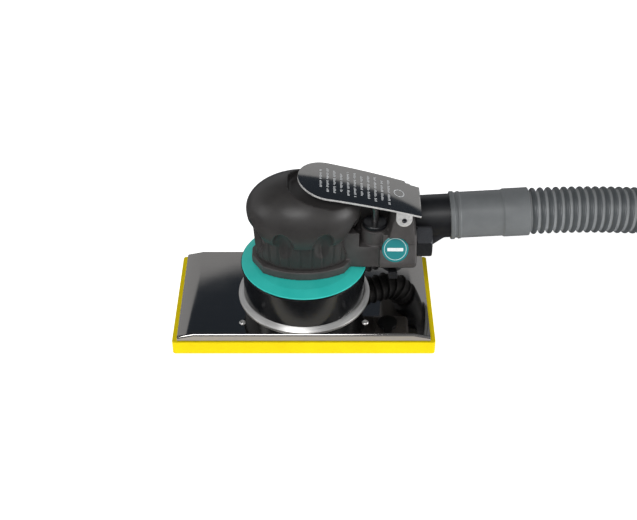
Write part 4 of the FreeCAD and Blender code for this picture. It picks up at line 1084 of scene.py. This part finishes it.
# Etching ink: dull pale grey, slightly uneven where it dried.
ink, tree, shader = finish_of("printing_ink", {"Roughness": 0.6})
where = add(tree, "ShaderNodeTexCoord").outputs["Object"]
dried = add(
    tree, "ShaderNodeTexNoise", {"Scale": 1 / (1.5 * mm), "Detail": 4}, {"Vector": where}).outputs["Fac"]
ink_tone = add(
    tree, "ShaderNodeValToRGB", links={"Fac": dried},
    stops=[(0.3, "#c4c6c8"), (0.7, "#d9dbdc")]).outputs["Color"]
tree.links.new(ink_tone, shader.inputs["Base Color"])
verts, faces = [], []


def ink_cell(x0, x1, y0, y1):
    """A small printed rectangle lying on the lever."""
    first = len(verts)
    for x, y in ((x0, y0), (x1, y0), (x1, y1), (x0, y1)):
        verts.append((x, y, lever_face(x, y) + INK_LIFT))
    faces.append((first, first + 1, first + 2, first + 3))


for i in range(SCALE_ROWS):
    x = SCALE_FROM + i * SCALE_STEP
    reach = (12.5 if i % 3 else 10.0) * mm
    cells = int(2 * reach / CELL_STEP)
    for j in range(cells):
        if (i * 5 + j * 3) % 7 == 0:
            continue
        y = 1.0 * mm - reach + j * CELL_STEP
        ink_cell(x, x + SCALE_TALL * (1.0 if (i + j) % 3 else 0.7), y, y + CELL_STEP * 0.6)
RING_AT = 62 * mm
RING_Y = 1.5 * mm
for step in range(24):
    a0, a1 = math.tau * step / 24, math.tau * (step + 1) / 24
    first = len(verts)
    for a, r in ((a0, 2.9), (a0, 3.5), (a1, 3.5), (a1, 2.9)):
        x, y = RING_AT + r * math.cos(a) * mm, RING_Y + r * math.sin(a) * mm
        verts.append((x, y, lever_face(x, y) + INK_LIFT))
    faces.append((first, first + 1, first + 2, first + 3))
scale = mesh_piece("lever_scale_print", verts, faces, ink, smooth=False)
facing_out(scale)
for polygon in scale.data.polygons:
    if polygon.normal.z < 0:
        polygon.flip()
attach(scale, "lever")

# Hinge pin: blackened steel with its ends turned back a little.
# Phosphated steel: dark grey, dull, faintly crystalline.
phosphated, tree, shader = finish_of("phosphated_steel", {"Metallic": 1.0, "Roughness": 0.45})
where = add(tree, "ShaderNodeTexCoord").outputs["Object"]
crystals = add(
    tree, "ShaderNodeTexVoronoi", {"Scale": 1 / (0.35 * mm)}, {"Vector": where}).outputs["Distance"]
dark_tone = add(
    tree, "ShaderNodeValToRGB", links={"Fac": crystals},
    stops=[(0.0, "#4a4b4e"), (0.8, "#626468")]).outputs["Color"]
bump = add(tree, "ShaderNodeBump", {"Strength": 0.2, "Distance": 0.02 * mm}, {"Height": crystals})
tree.links.new(dark_tone, shader.inputs["Base Color"])
tree.links.new(bump.outputs["Normal"], shader.inputs["Normal"])
pin_r = (pin_high.x - pin_low.x) / 2
pin_l = pin_high.y - pin_low.y
pin_profile = [
    (0.01 * mm, 0.35 * mm), (0.7 * mm, 0.35 * mm), (1.0 * mm, 0), (pin_r, 0), (pin_r, pin_l),
    (1.0 * mm, pin_l), (0.7 * mm, pin_l - 0.35 * mm), (0.01 * mm, pin_l - 0.35 * mm)]
pin = lathe(
    "lever_pin_turned", rounded(pin_profile, 0.15 * mm), (hinge_x, pin_low.y, hinge_z), (0, 1, 0),
    phosphated, sides=48)
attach(pin, "housing")
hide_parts("lever_pin")


# ==================================================================== valve
# Poppet valve under the lever: a bright steel stem, and a black acetal screw cap with fine
# knurling on its rim that closes the boss of the housing.
cap_mid = (cap_low + cap_high) / 2
CAP_H = 3.0 * mm
CAP_KNURLS = 48
cap_r = (cap_high.x - cap_low.x) / 2
stem_r = 2.15 * mm
# Black acetal: smooth and slightly waxy, with tiny turning marks.
acetal, tree, shader = finish_of("black_acetal", {"Roughness": 0.32, "IOR": 1.48})
where = add(tree, "ShaderNodeTexCoord").outputs["Object"]
flat_rings = add(
    tree, "ShaderNodeMapping", {"Scale": (0.05, 0.05, 1.0)}, {"Vector": where}).outputs["Vector"]
marks = add(
    tree, "ShaderNodeTexNoise", {"Scale": 1 / (0.4 * mm), "Detail": 3},
    {"Vector": flat_rings}).outputs["Fac"]
acetal_tone = add(
    tree, "ShaderNodeValToRGB", links={"Fac": marks},
    stops=[(0.3, "#141517"), (0.7, "#1c1d20")]).outputs["Color"]
bump = add(tree, "ShaderNodeBump", {"Strength": 0.2, "Distance": 0.03 * mm}, {"Height": marks})
tree.links.new(acetal_tone, shader.inputs["Base Color"])
tree.links.new(bump.outputs["Normal"], shader.inputs["Normal"])
cap_profile = [
    (stem_r + 0.1 * mm, 0), (cap_r - 0.6 * mm, 0), (cap_r, 0.5 * mm), (cap_r, CAP_H - 0.7 * mm),
    (cap_r - 0.8 * mm, CAP_H), (stem_r + 0.1 * mm, CAP_H),
]
cap = lathe(
    "valve_cap_turned", rounded(cap_profile, 0.25 * mm), (cap_mid.x, cap_mid.y, cap_high.z - CAP_H),
    (0, 0, 1), acetal, sides=CAP_KNURLS * 4)
for vertex in cap.data.vertices:
    away = Vector((vertex.co.x - cap_mid.x, vertex.co.y - cap_mid.y, 0))
    if away.length > cap_r - 0.15 * mm:
        ridge = math.cos(math.atan2(away.y, away.x) * CAP_KNURLS)
        vertex.co -= away.normalized() * 0.14 * mm * (1 - ridge)
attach(cap, "housing")
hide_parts("valve_cap")
stem = from_cad("valve_stem", "valve_stem_turned", turned, 0.25 * mm)
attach(stem, "valve_stem")
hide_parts("valve_stem")


# ==================================================================== air inlet
# Hexagonal inlet bushing of blackened steel screwed into the end of the valve block, with its
# thread cut inside.
bush = from_cad("inlet_bushing", "inlet_bushing_turned", phosphated, 0.35 * mm)
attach(bush, "housing")
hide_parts("inlet_bushing")
bush_low, bush_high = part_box("inlet_bushing")
THREAD_PITCH = 1.34 * mm
bore = 5.7 * mm
thread_profile = []
for turn in range(7):
    x = turn * THREAD_PITCH
    thread_profile += [(bore - 0.02 * mm, x), (bore - 0.55 * mm, x + THREAD_PITCH / 2)]
thread_profile += [
    (bore - 0.02 * mm, 7 * THREAD_PITCH), (bore + 0.4 * mm, 7 * THREAD_PITCH), (bore + 0.4 * mm, 0)]
thread = lathe(
    "inlet_thread", thread_profile,
    (bush_high.x - 1.0 * mm - 7 * THREAD_PITCH, 0, (bush_low.z + bush_high.z) / 2), (1, 0, 0), phosphated,
    sides=64)
facing_out(thread)
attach(thread, "housing")


# ==================================================================== badge
# Round printed emblem plate let into the tilted front face of the valve block: green enamel with
# a pale ring and one plain bar.
badge_low, badge_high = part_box("badge")
badge_mid = (badge_low + badge_high) / 2
BADGE_TILT = math.radians(25)
BADGE_R = (badge_high.x - badge_low.x) / 2
badge_out = Vector((0, -math.cos(BADGE_TILT), math.sin(BADGE_TILT)))
# Domed enamel: clear gloss over a printed green, pale ring and bar, with a faint print grain.
enamel, tree, shader = finish_of(
    "printed_enamel", {"Roughness": 0.3, "Coat Weight": 0.3, "Coat Roughness": 0.1})
where = add(tree, "ShaderNodeTexCoord").outputs["Object"]
from_middle = add(
    tree, "ShaderNodeVectorMath", {1: badge_mid}, {0: where}, operation="SUBTRACT").outputs["Vector"]
parts_of = add(tree, "ShaderNodeSeparateXYZ", links={0: from_middle})
upward = add(
    tree, "ShaderNodeMath", {1: 1 / math.cos(BADGE_TILT)}, {0: parts_of.outputs["Z"]},
    operation="MULTIPLY").outputs[0]
radius = add(tree, "ShaderNodeVectorMath", links={0: from_middle}, operation="LENGTH").outputs["Value"]
share = add(tree, "ShaderNodeMath", {1: BADGE_R}, {0: radius}, operation="DIVIDE").outputs[0]
rings = add(
    tree, "ShaderNodeValToRGB", links={"Fac": share},
    stops=[
        (0.0, "#087e82"), (0.80, "#087e82"), (0.81, "#c9dddd"), (0.84, "#c9dddd"),
        (0.85, "#087e82")]).outputs["Color"]
tall = add(tree, "ShaderNodeMath", links={0: upward}, operation="ABSOLUTE").outputs[0]
bar_band = add(tree, "ShaderNodeMath", {1: 1.1 * mm}, {0: tall}, operation="LESS_THAN").outputs[0]
inside = add(tree, "ShaderNodeMath", {1: 0.6}, {0: share}, operation="LESS_THAN").outputs[0]
bar_mask = add(tree, "ShaderNodeMath", links={0: bar_band, 1: inside}, operation="MULTIPLY").outputs[0]
print_grain = add(
    tree, "ShaderNodeTexNoise", {"Scale": 1 / (0.5 * mm), "Detail": 3}, {"Vector": where}).outputs["Fac"]
bar_tone = add(
    tree, "ShaderNodeValToRGB", links={"Fac": print_grain},
    stops=[(0.3, "#e3e9e9"), (0.7, "#f0f3f3")]).outputs["Color"]
printed = add(
    tree, "ShaderNodeMixRGB", {}, {"Fac": bar_mask, "Color1": rings, "Color2": bar_tone}).outputs["Color"]
tree.links.new(printed, shader.inputs["Base Color"])
badge_back = badge_mid - badge_out * 0.4 * mm
badge_profile = [
    (0.01 * mm, 0), (BADGE_R, 0), (BADGE_R, 0.6 * mm), (BADGE_R - 0.8 * mm, 0.8 * mm),
    (0.01 * mm, 0.95 * mm)]
badge = lathe("badge_domed", rounded(badge_profile, 0.2 * mm), badge_back, badge_out, enamel, sides=96)
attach(badge, "housing")
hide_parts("badge")


# ==================================================================== speed regulator
# Black plastic regulator under the valve block: a disc with a finger tab folded up in front.
regulator = from_cad("speed_regulator", "speed_regulator_moulded", acetal, 0.35 * mm)
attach(regulator, "speed_regulator")
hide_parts("speed_regulator")


# ==================================================================== exhaust duct and bellows
# Outlet pipe of black plastic: a level barrel that takes the cuff, and an inclined branch down to
# the ribbed rubber elbow on the skirt's outlet.
# Satin ABS: black with a soft even sheen and a fine grain.
abs_satin, tree, shader = finish_of("satin_black_abs", {"Roughness": 0.42, "IOR": 1.5})
where = add(tree, "ShaderNodeTexCoord").outputs["Object"]
sheen = add(
    tree, "ShaderNodeTexNoise", {"Scale": 1 / (4 * mm), "Detail": 5}, {"Vector": where}).outputs["Fac"]
satin_tone = add(
    tree, "ShaderNodeValToRGB", links={"Fac": sheen},
    stops=[(0.3, "#17181b"), (0.7, "#1e1f22")]).outputs["Color"]
fine = add(
    tree, "ShaderNodeTexNoise", {"Scale": 1 / (0.5 * mm), "Detail": 2}, {"Vector": where}).outputs["Fac"]
bump = add(tree, "ShaderNodeBump", {"Strength": 0.2, "Distance": 0.04 * mm}, {"Height": fine})
tree.links.new(satin_tone, shader.inputs["Base Color"])
tree.links.new(bump.outputs["Normal"], shader.inputs["Normal"])
duct = remoulded(from_cad("exhaust_duct", "exhaust_duct_moulded", abs_satin), 0.55 * mm, 6)
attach(duct, "housing")
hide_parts("exhaust_duct")

# Nitrile rubber: dull black with a grey bloom.
nitrile, tree, shader = finish_of(
    "nitrile_rubber", {"Roughness": 0.6, "IOR": 1.5, "Specular IOR Level": 0.4})
where = add(tree, "ShaderNodeTexCoord").outputs["Object"]
bloom = add(
    tree, "ShaderNodeTexNoise", {"Scale": 1 / (6 * mm), "Detail": 6, "Roughness": 0.7},
    {"Vector": where}).outputs["Fac"]
nitrile_tone = add(
    tree, "ShaderNodeValToRGB", links={"Fac": bloom},
    stops=[(0.3, "#1b1b1c"), (0.7, "#272728")]).outputs["Color"]
bump = add(tree, "ShaderNodeBump", {"Strength": 0.2, "Distance": 0.05 * mm}, {"Height": bloom})
tree.links.new(nitrile_tone, shader.inputs["Base Color"])
tree.links.new(bump.outputs["Normal"], shader.inputs["Normal"])
bellows = remoulded(from_cad("exhaust_bellows", "exhaust_bellows_moulded", nitrile), 0.35 * mm, 3)
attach(bellows, "housing")
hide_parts("exhaust_bellows")


# ==================================================================== inner pieces
# Pieces inside the housing and the pad: bearings, shafts, screws, seals and plates, kept as they
# are and given the finish of the metal, plastic or rubber they are made of.
# Cast aluminium: pale grey, satin, with the fine grain of a shot-blasted casting.
cast_alloy, tree, shader = finish_of("cast_aluminium", {"Metallic": 1.0, "Roughness": 0.42})
where = add(tree, "ShaderNodeTexCoord").outputs["Object"]
blasted = add(
    tree, "ShaderNodeTexVoronoi", {"Scale": 1 / (0.5 * mm)}, {"Vector": where}).outputs["Distance"]
alloy_tone = add(
    tree, "ShaderNodeValToRGB", links={"Fac": blasted},
    stops=[(0.0, "#a9abad"), (0.8, "#bfc1c3")]).outputs["Color"]
bump = add(tree, "ShaderNodeBump", {"Strength": 0.3, "Distance": 0.04 * mm}, {"Height": blasted})
tree.links.new(alloy_tone, shader.inputs["Base Color"])
tree.links.new(bump.outputs["Normal"], shader.inputs["Normal"])

# Machined brass: warm yellow with tool rings.
brass, tree, shader = finish_of("machined_brass", {"Metallic": 1.0, "Roughness": 0.3})
where = add(tree, "ShaderNodeTexCoord").outputs["Object"]
rings_cut = add(
    tree, "ShaderNodeTexNoise", {"Scale": 1 / (0.3 * mm), "Detail": 3}, {"Vector": where}).outputs["Fac"]
brass_tone = add(
    tree, "ShaderNodeValToRGB", links={"Fac": rings_cut},
    stops=[(0.3, "#c0a15a"), (0.7, "#d2b36b")]).outputs["Color"]
tree.links.new(brass_tone, shader.inputs["Base Color"])

# Phenolic vane stock: brown-black cloth laminate with a visible weave.
vane_stock, tree, shader = finish_of("phenolic_cloth_laminate", {"Roughness": 0.55})
where = add(tree, "ShaderNodeTexCoord").outputs["Object"]
weave = add(tree, "ShaderNodeTexChecker", {"Scale": 1 / (0.8 * mm)}, {"Vector": where}).outputs["Fac"]
weave_tone = add(
    tree, "ShaderNodeValToRGB", links={"Fac": weave},
    stops=[(0.0, "#3b2a20"), (1.0, "#4a372a")]).outputs["Color"]
tree.links.new(weave_tone, shader.inputs["Base Color"])

# Rigid polyurethane core: pale yellow-grey and matt, with closed bubbles.
rigid_core, tree, shader = finish_of("rigid_polyurethane", {"Roughness": 0.8})
where = add(tree, "ShaderNodeTexCoord").outputs["Object"]
bubbles = add(
    tree, "ShaderNodeTexVoronoi", {"Scale": 1 / (1.2 * mm)}, {"Vector": where}).outputs["Distance"]
core_tone = add(
    tree, "ShaderNodeValToRGB", links={"Fac": bubbles},
    stops=[(0.0, "#8f8560"), (0.8, "#b0a67c")]).outputs["Color"]
tree.links.new(core_tone, shader.inputs["Base Color"])

INSIDE = {
    turned: (
        "spindle", "spindle_washer", "spindle_bearing_low", "spindle_bearing_high", "eccentric_shaft",
        "rotor", "lower_bearing", "upper_bearing", "cylinder_liner", "valve_spring"),
    phosphated: ("post_screws", "flange_screws", "spindle_bolt", "spindle_snap_ring"),
    cast_alloy: ("lower_end_plate", "upper_end_plate", "motor_lock_ring", "ejector_nozzle"),
    brass: ("counterweight", "valve_seat", "valve_bush", "inlet_screen"),
    nitrile: ("support_posts", "stem_seal"),
    vane_stock: ("rotor_vanes",),
    rigid_core: ("pad_core",),
}
for material, nodes in INSIDE.items():
    for node in nodes:
        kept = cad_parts[node]
        kept.data.materials.clear()
        kept.data.materials.append(material)
